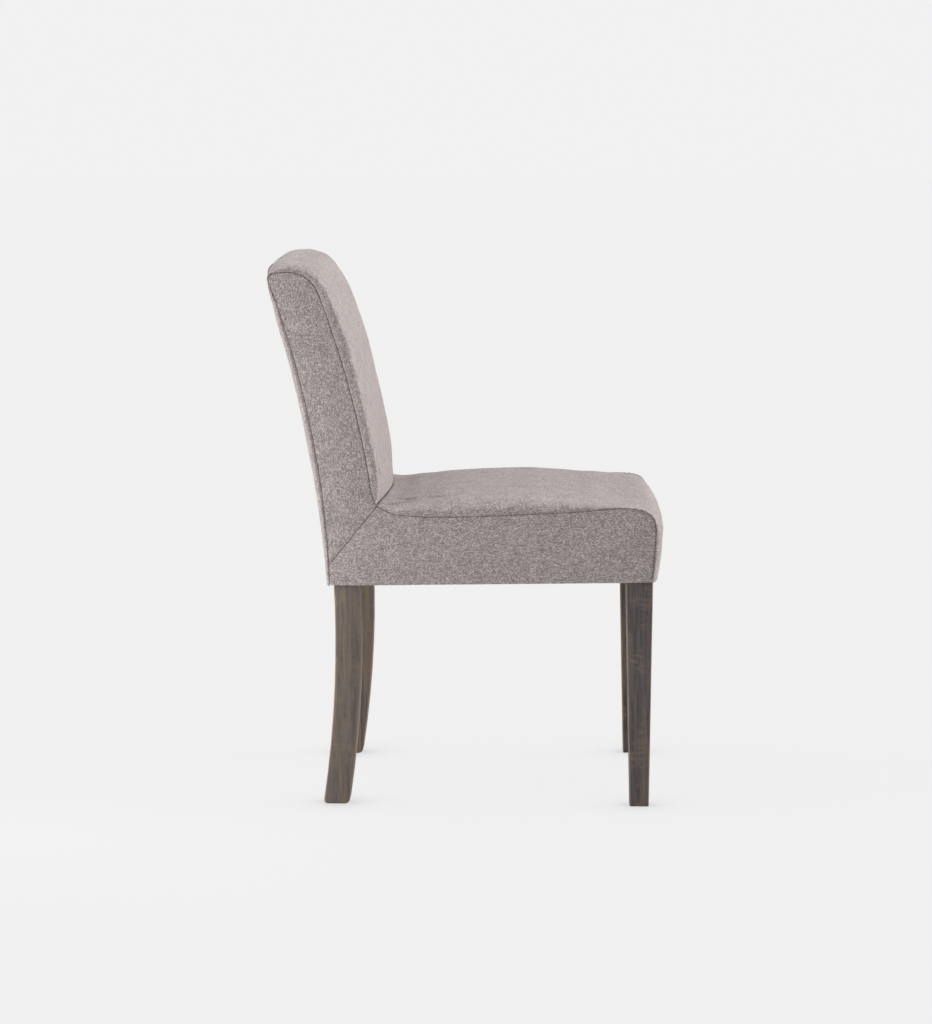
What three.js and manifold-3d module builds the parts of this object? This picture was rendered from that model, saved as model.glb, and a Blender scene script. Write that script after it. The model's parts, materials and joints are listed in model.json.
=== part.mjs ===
// An upholstered parsons dining chair, as the pieces it is built from, in millimetres.
// +Z is up, X runs across the chair and the front of the seat faces -Y, so the sitter's left is +X.
// The origin is on the floor, under the middle of the chair. While the pieces are made, Y counts from
// the rear seam at the hem, and the finished chair is moved to the origin as one group.

import * as THREE from 'three';
import { mergeVertices } from 'three/addons/utils/BufferGeometryUtils.js';
import Module from 'manifold-3d';

const wasm = await Module();
wasm.setup();

// Overall sizes
const frontWidth = 460; // across the covers at the front of the seat
const rearDrawIn = 28.5; // how much narrower the covers are at the rear seam's hem
const seatSeamHeight = 453; // floor to the lowest point of the seat's side seam
const seatBoxHeight = 106.5; // from that point down to the hem at the rear
const hemRise = 8.5; // how much higher the hem is at the front
const seatBoxDepth = 502; // rear seam at the hem to the foremost point of the side seam
const backHeight = 373.5; // from the seat's side seam up to the top rear corner

// Side seam of the seat
const seatSeamRise = 15.5; // how much higher it is at the back and at the front corner
const gutterForward = 73; // from the rear seam to the gutter between seat and back
const frontCornerRadius = 34;
const frontSeamLean = 6; // how far the front seam draws in from corner to hem
const frontSeamBow = 2.5;

// Side seam of the back
const mitreFootRise = 31; // hem to the foot of the mitre seam
const backRake = 91; // rear seam at the hem to the top rear corner
const backTopDepth = 64; // along the top, from rear corner to front corner
const backTopFall = 1.5; // how much lower the front corner is
const backTopBow = 3;
const rearSeamBow = 18.8;
const insideSeamBow = 10.2;
const topRearRadius = 9;
const topFrontRadius = 30;
const seamFlareHeight = 24; // above the gutter, where the inside seam starts to flare
const seamFlareForward = 8.5;

// Crown of the padding, measured at the middle of the width
const seatCrown = 31;
const insideBackCrown = 29;
const outsideBackCrown = 18;
const gutterForwardBulge = 15.5; // at the middle of the gutter
const gutterUpwardBulge = 1;
const topRearCrown = 13;
const topRearLiftShare = 0.4; // how far that crown turns from the corner's bisector to straight up
const gutterFade = 62; // along the seams, until the gutter's bulge has died away
const crownRoundness = 4; // exponent of the crown's section, where 2 is an ellipse

// Cloth, padding and clearance
const coverThickness = 1.8;
const hemTurnIn = 14;
const sidePadThickness = 2.6;
const dustCoverThickness = 0.8;
const dustCoverInset = 8;
const fit = 0.3; // clearance between neighbouring pieces
const paddingFit = 0.7; // clearance between the covers and the padding inside them
const overrun = 60; // how far a cutting solid runs past what it cuts

// Legs
const glideProud = 1;
const glideRadius = 9;
const glideHeight = 4;
const frontLegWidth = 42; // square at the hem
const frontLegOuterTaper = 4; // from hem to floor, on the front and outer faces
const frontLegInnerTaper = 8; // on the rear and inner faces
const frontLegProud = 2.6; // in front of the seam at the hem
const legChamfer = 1.5;
const rearLegWidth = 38;
const rearLegDepth = 40.6; // up to the knee, from where it thins to the post top
const postTopDepth = 28;
const postTopDrop = 26.5; // from the top rear corner of the seam down to the post top
const kneeShare = 0.756; // of the hem's height, where the rear leg is furthest forward
const kneeForward = 7.8; // rear face of the leg at the knee, ahead of the rear seam
const postTopForward = 12.5; // from the top rear corner forward to the post's rear face at its top
const rearFootRadius = 8;

// Rails and their joints
const railThickness = 22;
const railTopDrop = 29; // from the seat's side seam down to the rails' top edges
const rearRailSetBack = 1.9; // ahead of the rear leg's knee face
const lowerRailHeight = 45;
const lowerRailRise = 47; // from the seat's side seam up to its middle
const lowerRailThickness = 20;
const crestRailHeight = 48;
const crestRailDrop = 54.5; // from the top rear corner of the seam down to its middle
const crestRailThickness = 22;
const tenonLength = 17;
const tenonThickness = 9;
const tenonShoulder = 8; // above and below each tenon
const blockThickness = 22;
const blockHeight = 45;
const screwRadius = 2.2;
const screwHeadRadius = 4.2;
const screwHeadHeight = 2.4;
const screwBite = 15; // in the rail
const screwFromEdge = 12; // from the block's leg side

// Suspension
const webWidth = 50;
const webThickness = 1.6;
const webOverlap = 18; // of a web on the rail or post that it is stapled to
const clothThickness = 0.8;
const clothInset = 10;
const backWebShares = [0.34, 0.522, 0.704]; // each web's middle, as a share of the back's height
const backClothRise = 5; // from the seat's side seam up to its lower edge

// How the crown is shared out along each wrap, as [share of its length, share of its full crown]
const seatCrownShares = [
  [0, 0.36], [0.08, 0.58], [0.2, 0.96], [0.32, 1], [0.44, 0.96], [0.5, 0.85], [0.58, 0.62],
  [0.65, 0.37], [0.7, 0.12], [0.79, 0.09], [0.86, 0.475], [0.93, 0.51], [1, 0.445],
];
const insideBackCrownShares = [
  [0, 0.36], [0.04, 0.56], [0.08, 0.62], [0.12, 0.64], [0.17, 0.6], [0.25, 0.78],
  [0.42, 0.845], [0.65, 0.75], [0.82, 0.745], [0.93, 0.63], [1, 0.475],
];
const outsideBackCrownShares = [
  [0, 0.44], [0.2, 0.725], [0.5, 0.97], [0.8, 1], [0.92, 0.74], [1, 0.45],
];

// The seat's side seam from the gutter to its front corner, as [share of the way, share of the rise]
const seatSeamShares = [
  [0, 1], [0.03, 0.6], [0.058, 0.31], [0.102, 0.14], [0.185, 0],
  [0.28, 0.03], [0.47, 0.25], [0.7, 0.56], [0.87, 0.99], [1, 0.98],
];

// How finely the curves are cut
const crownSteps = 14;
const roundSteps = 16;

// Worked out from the sizes
const halfWidth = frontWidth / 2;
const rearHemHeight = seatSeamHeight - seatBoxHeight;
const frontHemHeight = rearHemHeight + hemRise;
const backCornerHeight = seatSeamHeight + backHeight;
const railTopHeight = seatSeamHeight - railTopDrop;
const postTopHeight = backCornerHeight - postTopDrop;
const kneeHeight = rearHemHeight * kneeShare;
const postRise = postTopHeight - kneeHeight;
const postSweep = backRake - postTopForward + kneeForward;
const rearLegRadius = (postRise ** 2 + postSweep ** 2) / (2 * postSweep); // of the bow, foot to top
const frameHalf = halfWidth - coverThickness - fit - sidePadThickness - fit;
const narrowing = rearDrawIn / frontWidth / seatBoxDepth;
const underRail = coverThickness + fit; // room for the turned hem between cover edge and rail
const frontHemY = -seatBoxDepth + frontSeamLean;
const frontLegY = frontHemY - frontLegProud;
const railMiddle = (frontHemHeight + underRail + railTopHeight) / 2;
const webBase = railTopHeight + fit;
const seatClothBase = webBase + 2 * (webThickness + fit);
const seatFoamBase = seatClothBase + clothThickness + fit;

// Materials
const upholstery = () => new THREE.MeshStandardMaterial({ color: 0x968d8b, roughness: 0.95 });
const darkWood = () => new THREE.MeshStandardMaterial({ color: 0x5d534d, roughness: 0.55 });
const paleWood = () => new THREE.MeshStandardMaterial({ color: 0xc8a67a, roughness: 0.7 });
const foam = () => new THREE.MeshStandardMaterial({ color: 0xe9e2cf, roughness: 1 });
const wadding = () => new THREE.MeshStandardMaterial({ color: 0xf0eee8, roughness: 1 });
const webbing = () => new THREE.MeshStandardMaterial({ color: 0x3a3633, roughness: 0.9 });
const blackCloth = () => new THREE.MeshStandardMaterial({ color: 0x1d1d1f, roughness: 0.95 });
const nylon = () => new THREE.MeshStandardMaterial({ color: 0x26221f, roughness: 0.5 });
const steel = () => new THREE.MeshStandardMaterial({ color: 0xb4b6b8, roughness: 0.35, metalness: 1 });

// Small tools for points, curves and solids

const point = (y, z) => new THREE.Vector2(y, z);

// A shallow curve from a to b that swells by bow to the left of the way it runs
function bowed(a, b, bow) {
  const chord = b.clone().sub(a);
  const left = point(-chord.y, chord.x).normalize();
  const control = a.clone().addScaledVector(chord, 1 / 2).addScaledVector(left, 2 * bow);
  return new THREE.QuadraticBezierCurve(a, control, b);
}

// Points along a curve, leaving out a length at either end
function along(curve, steps, skipStart = 0, skipEnd = 0) {
  const length = curve.getLength();
  const points = [];
  for (let i = 0; i <= steps; i++) {
    const distance = skipStart + (length - skipStart - skipEnd) * (i / steps);
    points.push(curve.getPointAt(distance / length));
  }
  return points;
}

// Joins runs of points whose ends stand off from sharp corners, rounding each corner
function roundedRun(runs, corners, steps) {
  const points = [...runs[0]];
  for (let i = 1; i < runs.length; i++) {
    const from = points.pop();
    const bend = new THREE.QuadraticBezierCurve(from, corners[i - 1], runs[i][0]);
    points.push(...bend.getPoints(steps).slice(0, -1), ...runs[i]);
  }
  return points;
}

// The value that a table of [share, value] pairs gives at a share, on a smooth line without overshoot
function fromTable(table, share) {
  const rise = (i) => (table[i][1] - table[i - 1][1]) / (table[i][0] - table[i - 1][0]);
  const slope = (i) => {
    if (i === 0) return rise(1);
    if (i === table.length - 1) return rise(i);
    const [before, after] = [rise(i), rise(i + 1)];
    return before * after <= 0 ? 0 : (2 * before * after) / (before + after);
  };
  const next = Math.max(1, table.findIndex(([at]) => at >= share - Number.EPSILON));
  const [a, low] = table[next - 1];
  const [b, high] = table[next];
  const t = (share - a) / (b - a);
  const eased = low + (high - low) * t ** 2 * (3 - 2 * t);
  return eased + (b - a) * t * (1 - t) * (slope(next - 1) * (1 - t) - slope(next) * t);
}

// A geometry from rows of triangle corners, turned so that its faces point out
function closedGeometry(positions, triangles) {
  let volume = 0;
  for (const [a, b, c] of triangles) {
    volume += positions[a].dot(new THREE.Vector3().crossVectors(positions[b], positions[c]));
  }
  const turned = volume < 0 ? triangles.map(([a, b, c]) => [a, c, b]) : triangles;
  const geometry = new THREE.BufferGeometry();
  geometry.setAttribute('position', new THREE.Float32BufferAttribute(positions.flatMap((p) => [...p]), 3));
  geometry.setIndex(turned.flat());
  return geometry;
}

// A closed solid through rings of matching points, with flat ends
function ringSolid(rings, contour) {
  const count = rings[0].length;
  const triangles = [];
  for (let r = 0; r + 1 < rings.length; r++) {
    for (let i = 0; i < count; i++) {
      const [a, b] = [r * count + i, r * count + ((i + 1) % count)];
      triangles.push([a, b, a + count], [b, b + count, a + count]);
    }
  }
  const last = (rings.length - 1) * count;
  const clockwise = THREE.ShapeUtils.isClockWise(contour);
  for (const [a, b, c] of THREE.ShapeUtils.triangulateShape(contour, [])) {
    const [d, e] = clockwise ? [c, b] : [b, c];
    triangles.push([a, e, d], [last + a, last + d, last + e]);
  }
  return closedGeometry(rings.flat(), triangles);
}

// A closed sheet between two grids of matching points
function sheetSolid(outer, inner) {
  const [rows, columns] = [outer.length, outer[0].length];
  const offset = rows * columns;
  const at = (row, column) => row * columns + column;
  const triangles = [];
  const wall = (a, b) => triangles.push([a, b, b + offset], [a, b + offset, a + offset]);
  for (let i = 0; i + 1 < rows; i++) {
    for (let k = 0; k + 1 < columns; k++) {
      const [a, b, c, d] = [at(i, k), at(i, k + 1), at(i + 1, k + 1), at(i + 1, k)];
      triangles.push([a, c, b], [a, d, c]);
      triangles.push([a + offset, b + offset, c + offset], [a + offset, c + offset, d + offset]);
    }
  }
  for (let k = 0; k + 1 < columns; k++) {
    wall(at(0, k), at(0, k + 1));
    wall(at(rows - 1, k + 1), at(rows - 1, k));
  }
  for (let i = 0; i + 1 < rows; i++) {
    wall(at(i + 1, 0), at(i, 0));
    wall(at(i, columns - 1), at(i + 1, columns - 1));
  }
  return closedGeometry([...outer.flat(), ...inner.flat()], triangles);
}

// A flat plate at the side of the chair between two matching outlines in the YZ plane
function sidePlate(outerLoop, innerLoop, outerX, innerX) {
  const ring = (loop, x) => loop.map((p) => new THREE.Vector3(x, p.x, p.y));
  return ringSolid([ring(outerLoop, outerX), ring(innerLoop, innerX)], outerLoop);
}

// A closed outline drawn in, each edge by its own distance
function drawnIn(loop, distanceOfEdge) {
  const count = loop.length;
  const inward = (i) => {
    const edge = loop[(i + 1) % count].clone().sub(loop[i]).normalize();
    return point(-edge.y, edge.x);
  };
  return loop.map((corner, i) => {
    const before = (i + count - 1) % count;
    const [n, m] = [inward(before), inward(i)];
    const [d, e] = [distanceOfEdge(before), distanceOfEdge(i)];
    const spread = n.cross(m);
    if (Math.abs(spread) < 1e-3) {
      return corner.clone().addScaledVector(m, e);
    }
    const shift = point((d * m.y - e * n.y) / spread, (e * n.x - d * m.x) / spread);
    return corner.clone().add(shift);
  });
}

// A solid with the given outline in the YZ plane, from one X to another
function slab(outline, fromX, toX) {
  const ring = (x) => outline.map((p) => new THREE.Vector3(x, p.x, p.y));
  return ringSolid([ring(fromX), ring(toX)], outline);
}

// A box between two corners
function block(low, high) {
  const size = high.map((value, i) => value - low[i]);
  const centre = high.map((value, i) => (value + low[i]) / 2);
  return new THREE.BoxGeometry(...size).translate(...centre);
}

// A round rod between two points
function rod(from, to, radius) {
  const [a, b] = [new THREE.Vector3(...from), new THREE.Vector3(...to)];
  const way = b.clone().sub(a);
  const up = new THREE.Vector3(0, 1, 0);
  const turn = new THREE.Quaternion().setFromUnitVectors(up, way.clone().normalize());
  const middle = a.add(b).divideScalar(2);
  const geometry = new THREE.CylinderGeometry(radius, radius, way.length(), roundSteps);
  return geometry.applyQuaternion(turn).translate(...middle);
}

// Booleans
function solidOf(geometry) {
  const bare = geometry.clone();
  bare.deleteAttribute('normal');
  bare.deleteAttribute('uv');
  const merged = mergeVertices(bare);
  return new wasm.Manifold(new wasm.Mesh({
    numProp: 3,
    vertProperties: merged.attributes.position.array,
    triVerts: new Uint32Array(merged.index.array),
  }));
}

function geometryOf(solid) {
  const mesh = solid.getMesh();
  const geometry = new THREE.BufferGeometry();
  geometry.setAttribute('position', new THREE.BufferAttribute(mesh.vertProperties, 3));
  geometry.setIndex(new THREE.BufferAttribute(mesh.triVerts, 1));
  return geometry;
}

const common = (a, b) => geometryOf(solidOf(a).intersect(solidOf(b)));
const joined = (a, b) => geometryOf(solidOf(a).add(solidOf(b)));
const cutBy = (body, tools) => geometryOf(
  tools.reduce((left, tool) => left.subtract(solidOf(tool)), solidOf(body)),
);

// The side outline: seams of the back and of the seat, seen along X

const hemAt = (y) => THREE.MathUtils.lerp(rearHemHeight, frontHemHeight, y / frontHemY);
const rearHem = point(0, rearHemHeight);
const topRearCorner = point(backRake, backCornerHeight);
const topFrontCorner = point(backRake - backTopDepth, backCornerHeight - backTopFall);
const gutter = point(-gutterForward, seatSeamHeight + seatSeamRise);
const flareTop = gutter.clone().add(point(seamFlareForward, seamFlareHeight));
const frontCorner = point(-seatBoxDepth, seatSeamHeight + seatSeamRise);
const frontHem = point(frontHemY, frontHemHeight);

const rearSeam = bowed(rearHem, topRearCorner, rearSeamBow);
const topSeam = bowed(topRearCorner, topFrontCorner, -backTopBow);
const insideSeam = bowed(topFrontCorner, flareTop, -insideSeamBow);
const flareSeam = new THREE.QuadraticBezierCurve(
  flareTop,
  gutter.clone().lerp(flareTop, 1 / 2).add(point(seamFlareForward / 4, 0)),
  gutter,
);
const rearSeamLength = rearSeam.getLength();
const mitreFoot = rearSeam.getPointAt(mitreFootRise / rearSeamLength);
const mitreWay = mitreFoot.clone().sub(gutter).normalize();

const seatTopSeam = new THREE.SplineCurve(seatSeamShares.map(([way, rise]) => point(
  THREE.MathUtils.lerp(gutter.x, frontCorner.x, way),
  seatSeamHeight + seatSeamRise * rise,
)));
const frontSeam = bowed(frontCorner, frontHem, -frontSeamBow);

// Each run of the outline, with the corner between the outside back and the inside back at its middle
const cornerArc = new THREE.QuadraticBezierCurve(
  rearSeam.getPointAt(1 - topRearRadius / rearSeamLength),
  topRearCorner,
  topSeam.getPointAt(topRearRadius / topSeam.getLength()),
);
const lowerRearRun = along(rearSeam, 2, 0, rearSeamLength - mitreFootRise);
const upperRearRun = [
  ...along(rearSeam, 11, mitreFootRise, topRearRadius),
  cornerArc.getPoint(1 / 4),
  cornerArc.getPoint(1 / 2),
];
const insideBackRun = [
  cornerArc.getPoint(1 / 2),
  cornerArc.getPoint(3 / 4),
  ...roundedRun(
    [along(topSeam, 3, topRearRadius, topFrontRadius), along(insideSeam, 12, topFrontRadius, 0)],
    [topFrontCorner],
    5,
  ),
  ...along(flareSeam, 3).slice(1),
];
const seatRun = roundedRun(
  [along(seatTopSeam, 15, 0, frontCornerRadius), along(frontSeam, 4, frontCornerRadius, 0)],
  [frontCorner],
  6,
);

// Stations along a run: where its seam is, which way is out and how far the padding swells there
function stations(run, fullCrown, crownShares) {
  const lengths = [0];
  for (let i = 1; i < run.length; i++) {
    lengths.push(lengths[i - 1] + run[i].distanceTo(run[i - 1]));
  }
  const total = lengths[lengths.length - 1];
  return run.map((seam, i) => {
    const way = run[Math.min(i + 1, run.length - 1)].clone().sub(run[Math.max(i - 1, 0)]).normalize();
    const out = point(way.y, -way.x);
    const swell = out.clone().multiplyScalar(fullCrown * fromTable(crownShares, lengths[i] / total));
    return { seam, out, swell, inward: out.clone().negate(), travelled: lengths[i], total };
  });
}

// Near the gutter, seat and back swell the same way, so that they meet there
function meetGutter(list, distanceOf) {
  for (const station of list) {
    const near = Math.max(0, 1 - distanceOf(station) / gutterFade) ** 2;
    station.swell.lerp(point(-gutterForwardBulge, gutterUpwardBulge), near);
  }
  return list;
}

// Turns the edge of a wrap at one end, so that it closes against its neighbour along a mitre
function mitreEdge(station, inward) {
  station.inward = inward.clone().divideScalar(Math.abs(inward.dot(station.out)));
}

// Makes the edge of a wrap swell level at the hem
function levelEdge(station) {
  const level = point(Math.sign(station.out.x), 0);
  station.swell = level.clone().multiplyScalar(station.swell.length());
  station.inward = level.negate();
}

const rearRun = [...lowerRearRun.slice(0, -1), ...upperRearRun];
const outsideBack = stations(rearRun, outsideBackCrown, outsideBackCrownShares);
levelEdge(outsideBack[0]);

const insideBack = meetGutter(
  stations(insideBackRun, insideBackCrown, insideBackCrownShares),
  (station) => station.total - station.travelled,
);
mitreEdge(insideBack[insideBack.length - 1], mitreWay);

// The two wraps of the back share the seam over the top rear corner
const cornerWay = cornerArc.getTangent(1 / 2);
const cornerOut = point(cornerWay.y, -cornerWay.x).lerp(point(0, 1), topRearLiftShare).normalize();
for (const station of [outsideBack[outsideBack.length - 1], insideBack[0]]) {
  station.swell = cornerOut.clone().multiplyScalar(topRearCrown);
  station.inward = cornerOut.clone().negate();
}

const seatWrap = meetGutter(stations(seatRun, seatCrown, seatCrownShares), (station) => station.travelled);
mitreEdge(seatWrap[0], mitreWay);
levelEdge(seatWrap[seatWrap.length - 1]);

// The crown's section: places across the width, from side to side, with how much of the crown each has
const crownSection = Array.from({ length: crownSteps + 1 }, (_, i) => {
  const angle = Math.PI * (i / crownSteps);
  const power = 2 / crownRoundness;
  const across = -Math.sign(Math.cos(angle)) * Math.abs(Math.cos(angle)) ** power;
  return {
    across: i * 2 === crownSteps ? 0 : across,
    crown: i % crownSteps === 0 ? 0 : Math.sin(angle) ** power,
  };
});

const crownShareAt = (share) => (1 - Math.abs(share) ** crownRoundness) ** (1 / crownRoundness);

// A wrap's surface, drawn in by a depth, as rows across the chair
function wrapRows(list, depth, half) {
  return list.map(({ seam, swell, inward }) => {
    const base = seam.clone().addScaledVector(inward, depth);
    return crownSection.map(({ across, crown }) => {
      const at = base.clone().addScaledVector(swell, crown);
      return new THREE.Vector3(across * half, at.x, at.y);
    });
  });
}

// Draws a wrap's first and last edge back from the neighbours that it is sewn to
function parted(list, atStart, atEnd) {
  const copy = list.map((station) => ({ ...station, seam: station.seam.clone() }));
  const last = copy.length - 1;
  const shift = (from, to) => {
    const away = copy[to].seam.clone().sub(copy[from].seam).normalize();
    copy[from].seam.addScaledVector(away, fit * (3 / 4));
  };
  if (atStart) shift(0, 1);
  if (atEnd) shift(last, last - 1);
  return copy;
}

function wrapCover(list, atStart, atEnd) {
  const edges = parted(list, atStart, atEnd);
  const outer = wrapRows(edges, 0, halfWidth);
  return sheetSolid(outer, wrapRows(edges, coverThickness, halfWidth - coverThickness));
}

// The part of a wrap's hem that is turned in under a rail, between the legs
function turnedHem(station, halfSpan, innerY) {
  const rows = [0, coverThickness].map((up) => {
    const z = station.seam.y + up;
    const line = Array.from({ length: 9 }, (_, i) => halfSpan * (i / 4 - 1));
    const outerY = (x) => station.seam.x + station.inward.x * coverThickness / 2
      + station.swell.x * crownShareAt(x / halfWidth);
    return [
      line.map((x) => new THREE.Vector3(x, outerY(x), z)),
      line.map((x) => new THREE.Vector3(x, innerY, z)),
    ];
  });
  return sheetSolid(rows[0], rows[1]);
}

// Both sides of the chair are alike: made at the sitter's left (+X), mirrored for the right
function mirrored(geometry) {
  const copy = geometry.index ? geometry.toNonIndexed() : geometry.clone();
  copy.scale(-1, 1, 1);
  const corners = copy.attributes.position;
  for (let i = 0; i < corners.count; i += 3) {
    const [a, b] = [new THREE.Vector3(), new THREE.Vector3()];
    a.fromBufferAttribute(corners, i + 1);
    b.fromBufferAttribute(corners, i + 2);
    corners.setXYZ(i + 1, ...b);
    corners.setXYZ(i + 2, ...a);
  }
  return copy;
}

const chair = new THREE.Group();

// Narrows a piece toward the back, as the chair's plan does, and sets it on the chair about its own middle
function add(name, geometry, material) {
  const bare = geometry.index ? geometry.toNonIndexed() : geometry.clone();
  bare.deleteAttribute('normal');
  bare.deleteAttribute('uv');
  const corners = bare.attributes.position;
  for (let i = 0; i < corners.count; i++) {
    const width = 1 - narrowing * (corners.getY(i) + seatBoxDepth);
    corners.setX(i, corners.getX(i) * width);
  }
  const whole = mergeVertices(bare);
  whole.computeBoundingBox();
  const middle = whole.boundingBox.getCenter(new THREE.Vector3());
  whole.translate(-middle.x, -middle.y, -middle.z);
  const mesh = new THREE.Mesh(whole, material);
  mesh.name = name;
  mesh.position.copy(middle);
  chair.add(mesh);
}

function addPair(name, geometry, makeMaterial) {
  add(`${name}_left`, geometry, makeMaterial());
  add(`${name}_right`, mirrored(geometry), makeMaterial());
}

// Covers

const legInner = frameHalf - frontLegWidth;
const frontLegRear = frontLegY + frontLegWidth;

add('seat_cover', joined(
  wrapCover(seatWrap, true, false),
  turnedHem(seatWrap[seatWrap.length - 1], legInner - fit, frontLegY + hemTurnIn),
), upholstery());
add('inside_back_cover', wrapCover(insideBack, true, true), upholstery());

const rearHemInner = -kneeForward - hemTurnIn;
add('outside_back_cover', joined(
  wrapCover(outsideBack, false, true),
  turnedHem(outsideBack[0], frameHalf - rearLegWidth - fit, rearHemInner),
), upholstery());

// Outlines of the two side panels, with the mitre seam as their shared edge
const backSideLoop = [...upperRearRun, ...insideBackRun.slice(1)];
const seatSideLoop = [...seatRun, ...lowerRearRun];
const mitreEdgeOfBack = backSideLoop.length - 1;
const mitreEdgeOfSeat = seatSideLoop.length - 1;
const hemEdgeOfSeat = seatRun.length - 1;

function backSideOutline(depth) {
  return drawnIn(backSideLoop, (edge) => (edge === mitreEdgeOfBack ? fit / 2 : depth));
}

function seatSideOutline(depth, hemDepth = 0) {
  return drawnIn(seatSideLoop, (edge) => {
    if (edge === mitreEdgeOfSeat) return fit / 2;
    return edge === hemEdgeOfSeat ? hemDepth : depth;
  });
}

const seamPart = fit * (4 / 3); // keeps the mitred edges of wrap and side panel apart
addPair('back_side_cover', sidePlate(
  backSideOutline(seamPart),
  backSideOutline(seamPart + coverThickness),
  halfWidth,
  halfWidth - coverThickness,
), upholstery);

const rearLegFrontAtHem = -kneeForward - rearLegDepth;
const hemStrip = (fromY, toY, low, high) => [
  point(fromY, hemAt(fromY) + low),
  point(toY, hemAt(toY) + low),
  point(toY, hemAt(toY) + high),
  point(fromY, hemAt(fromY) + high),
];
const sideHem = slab(
  hemStrip(frontLegRear + fit, rearLegFrontAtHem - fit, 0, coverThickness),
  halfWidth - coverThickness - hemTurnIn,
  halfWidth - coverThickness / 2,
);
addPair('seat_side_cover', joined(sidePlate(
  seatSideOutline(seamPart),
  seatSideOutline(seamPart + coverThickness),
  halfWidth,
  halfWidth - coverThickness,
), sideHem), upholstery);

// Thin pads between the side covers and the frame
const padOuter = halfWidth - coverThickness - fit;
const padDepth = seamPart + coverThickness + fit;
addPair('back_side_pad', sidePlate(
  backSideOutline(padDepth),
  backSideOutline(padDepth),
  padOuter,
  padOuter - sidePadThickness,
), wadding);
addPair('seat_side_pad', sidePlate(
  seatSideOutline(padDepth, coverThickness + fit),
  seatSideOutline(padDepth, coverThickness + fit),
  padOuter,
  padOuter - sidePadThickness,
), wadding);

// Rear legs, each one board from the foot to the top of the back

const rearFaceOfLeg = (z) => (
  -kneeForward + rearLegRadius - Math.sqrt(rearLegRadius ** 2 - (z - kneeHeight) ** 2)
);

function depthOfLeg(z) {
  const up = THREE.MathUtils.clamp((z - kneeHeight) / (postTopHeight - kneeHeight), 0, 1);
  return THREE.MathUtils.lerp(rearLegDepth, postTopDepth, up);
}

const frontFaceOfLeg = (z) => rearFaceOfLeg(z) - depthOfLeg(z);
const leanOfPost = (z) => Math.asin((z - kneeHeight) / rearLegRadius);

function rearLegOutline() {
  const heights = (steps) => Array.from({ length: steps + 1 }, (_, i) => (
    THREE.MathUtils.lerp(glideProud + rearFootRadius, postTopHeight, i / steps)
  ));
  const foot = (face, side) => new THREE.QuadraticBezierCurve(
    point(face(glideProud + rearFootRadius), glideProud + rearFootRadius),
    point(face(glideProud), glideProud),
    point(face(glideProud) + side * rearFootRadius, glideProud),
  ).getPoints(4);
  const rear = heights(18).map((z) => point(rearFaceOfLeg(z), z));
  const front = heights(18).map((z) => point(frontFaceOfLeg(z), z)).reverse();
  const [rearToe, frontToe] = [foot(rearFaceOfLeg, -1).reverse(), foot(frontFaceOfLeg, 1)];
  return [...rearToe, ...rear.slice(1), ...front, ...frontToe.slice(1)];
}

// A board with chamfered long edges
function board(outline, fromX, toX) {
  const small = drawnIn(outline, () => legChamfer);
  const ring = (loop, x) => loop.map((p) => new THREE.Vector3(x, p.x, p.y));
  return ringSolid([
    ring(small, fromX),
    ring(outline, fromX + legChamfer),
    ring(outline, toX - legChamfer),
    ring(small, toX),
  ], small);
}

const rearLegInnerX = frameHalf - rearLegWidth;
const rearLegMiddleX = frameHalf - rearLegWidth / 2;
const rearFootY = (rearFaceOfLeg(glideProud) + frontFaceOfLeg(glideProud)) / 2;

// Front legs, square and tapered below the hem

function chamferedSquare(lowX, highX, lowY, highY, z) {
  const c = legChamfer;
  return [
    [lowX + c, lowY], [highX - c, lowY], [highX, lowY + c], [highX, highY - c],
    [highX - c, highY], [lowX + c, highY], [lowX, highY - c], [lowX, lowY + c],
  ].map(([x, y]) => new THREE.Vector3(x, y, z));
}

const footFrontY = frontLegY + frontLegOuterTaper;
const footRearY = frontLegRear - frontLegInnerTaper;
const footOuterX = frameHalf - frontLegOuterTaper;
const footInnerX = legInner + frontLegInnerTaper;
const frontFootX = (footOuterX + footInnerX) / 2;
const frontFootY = (footFrontY + footRearY) / 2;

function frontLegBody() {
  const rings = [
    chamferedSquare(footInnerX, footOuterX, footFrontY, footRearY, glideProud),
    chamferedSquare(legInner, frameHalf, frontLegY, frontLegRear, frontHemHeight),
    chamferedSquare(legInner, frameHalf, frontLegY, frontLegRear, railTopHeight),
  ];
  return ringSolid(rings, rings[0].map((p) => point(p.x, p.y)));
}

// Rails, each with a tenon at either end that stands in a mortise in the leg

const sideRailX = frameHalf - railThickness / 2;
const sideRailInner = frameHalf - railThickness;
const frontRailY = frontLegY + frontLegProud + railThickness / 2;
const rearRailY = -kneeForward + rearRailSetBack - railThickness / 2;
const tenonLow = frontHemHeight + underRail + tenonShoulder;
const tenonHigh = railTopHeight - tenonShoulder;
const tenonHalf = tenonThickness / 2;

// Each tenon as the low and high corners of its block, which starts inside its rail
const seatTenons = [
  [
    [sideRailX - tenonHalf, frontLegRear - tenonLength, tenonLow],
    [sideRailX + tenonHalf, frontLegRear + tenonLength, tenonHigh],
  ],
  [
    [sideRailX - tenonHalf, rearLegFrontAtHem - tenonLength, tenonLow],
    [sideRailX + tenonHalf, frontFaceOfLeg(railMiddle) + tenonLength, tenonHigh],
  ],
  [
    [legInner - tenonLength, frontRailY - tenonHalf, tenonLow],
    [legInner + tenonLength, frontRailY + tenonHalf, tenonHigh],
  ],
  [
    [rearLegInnerX - tenonLength, rearRailY - tenonHalf, tenonLow],
    [rearLegInnerX + tenonLength, rearRailY + tenonHalf, tenonHigh],
  ],
];
const [sideFrontTenon, sideRearTenon, frontRailTenon, rearRailTenon] = seatTenons.map(([low, high]) => (
  (grow) => block(low.map((value) => value - grow), high.map((value) => value + grow))
));

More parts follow.
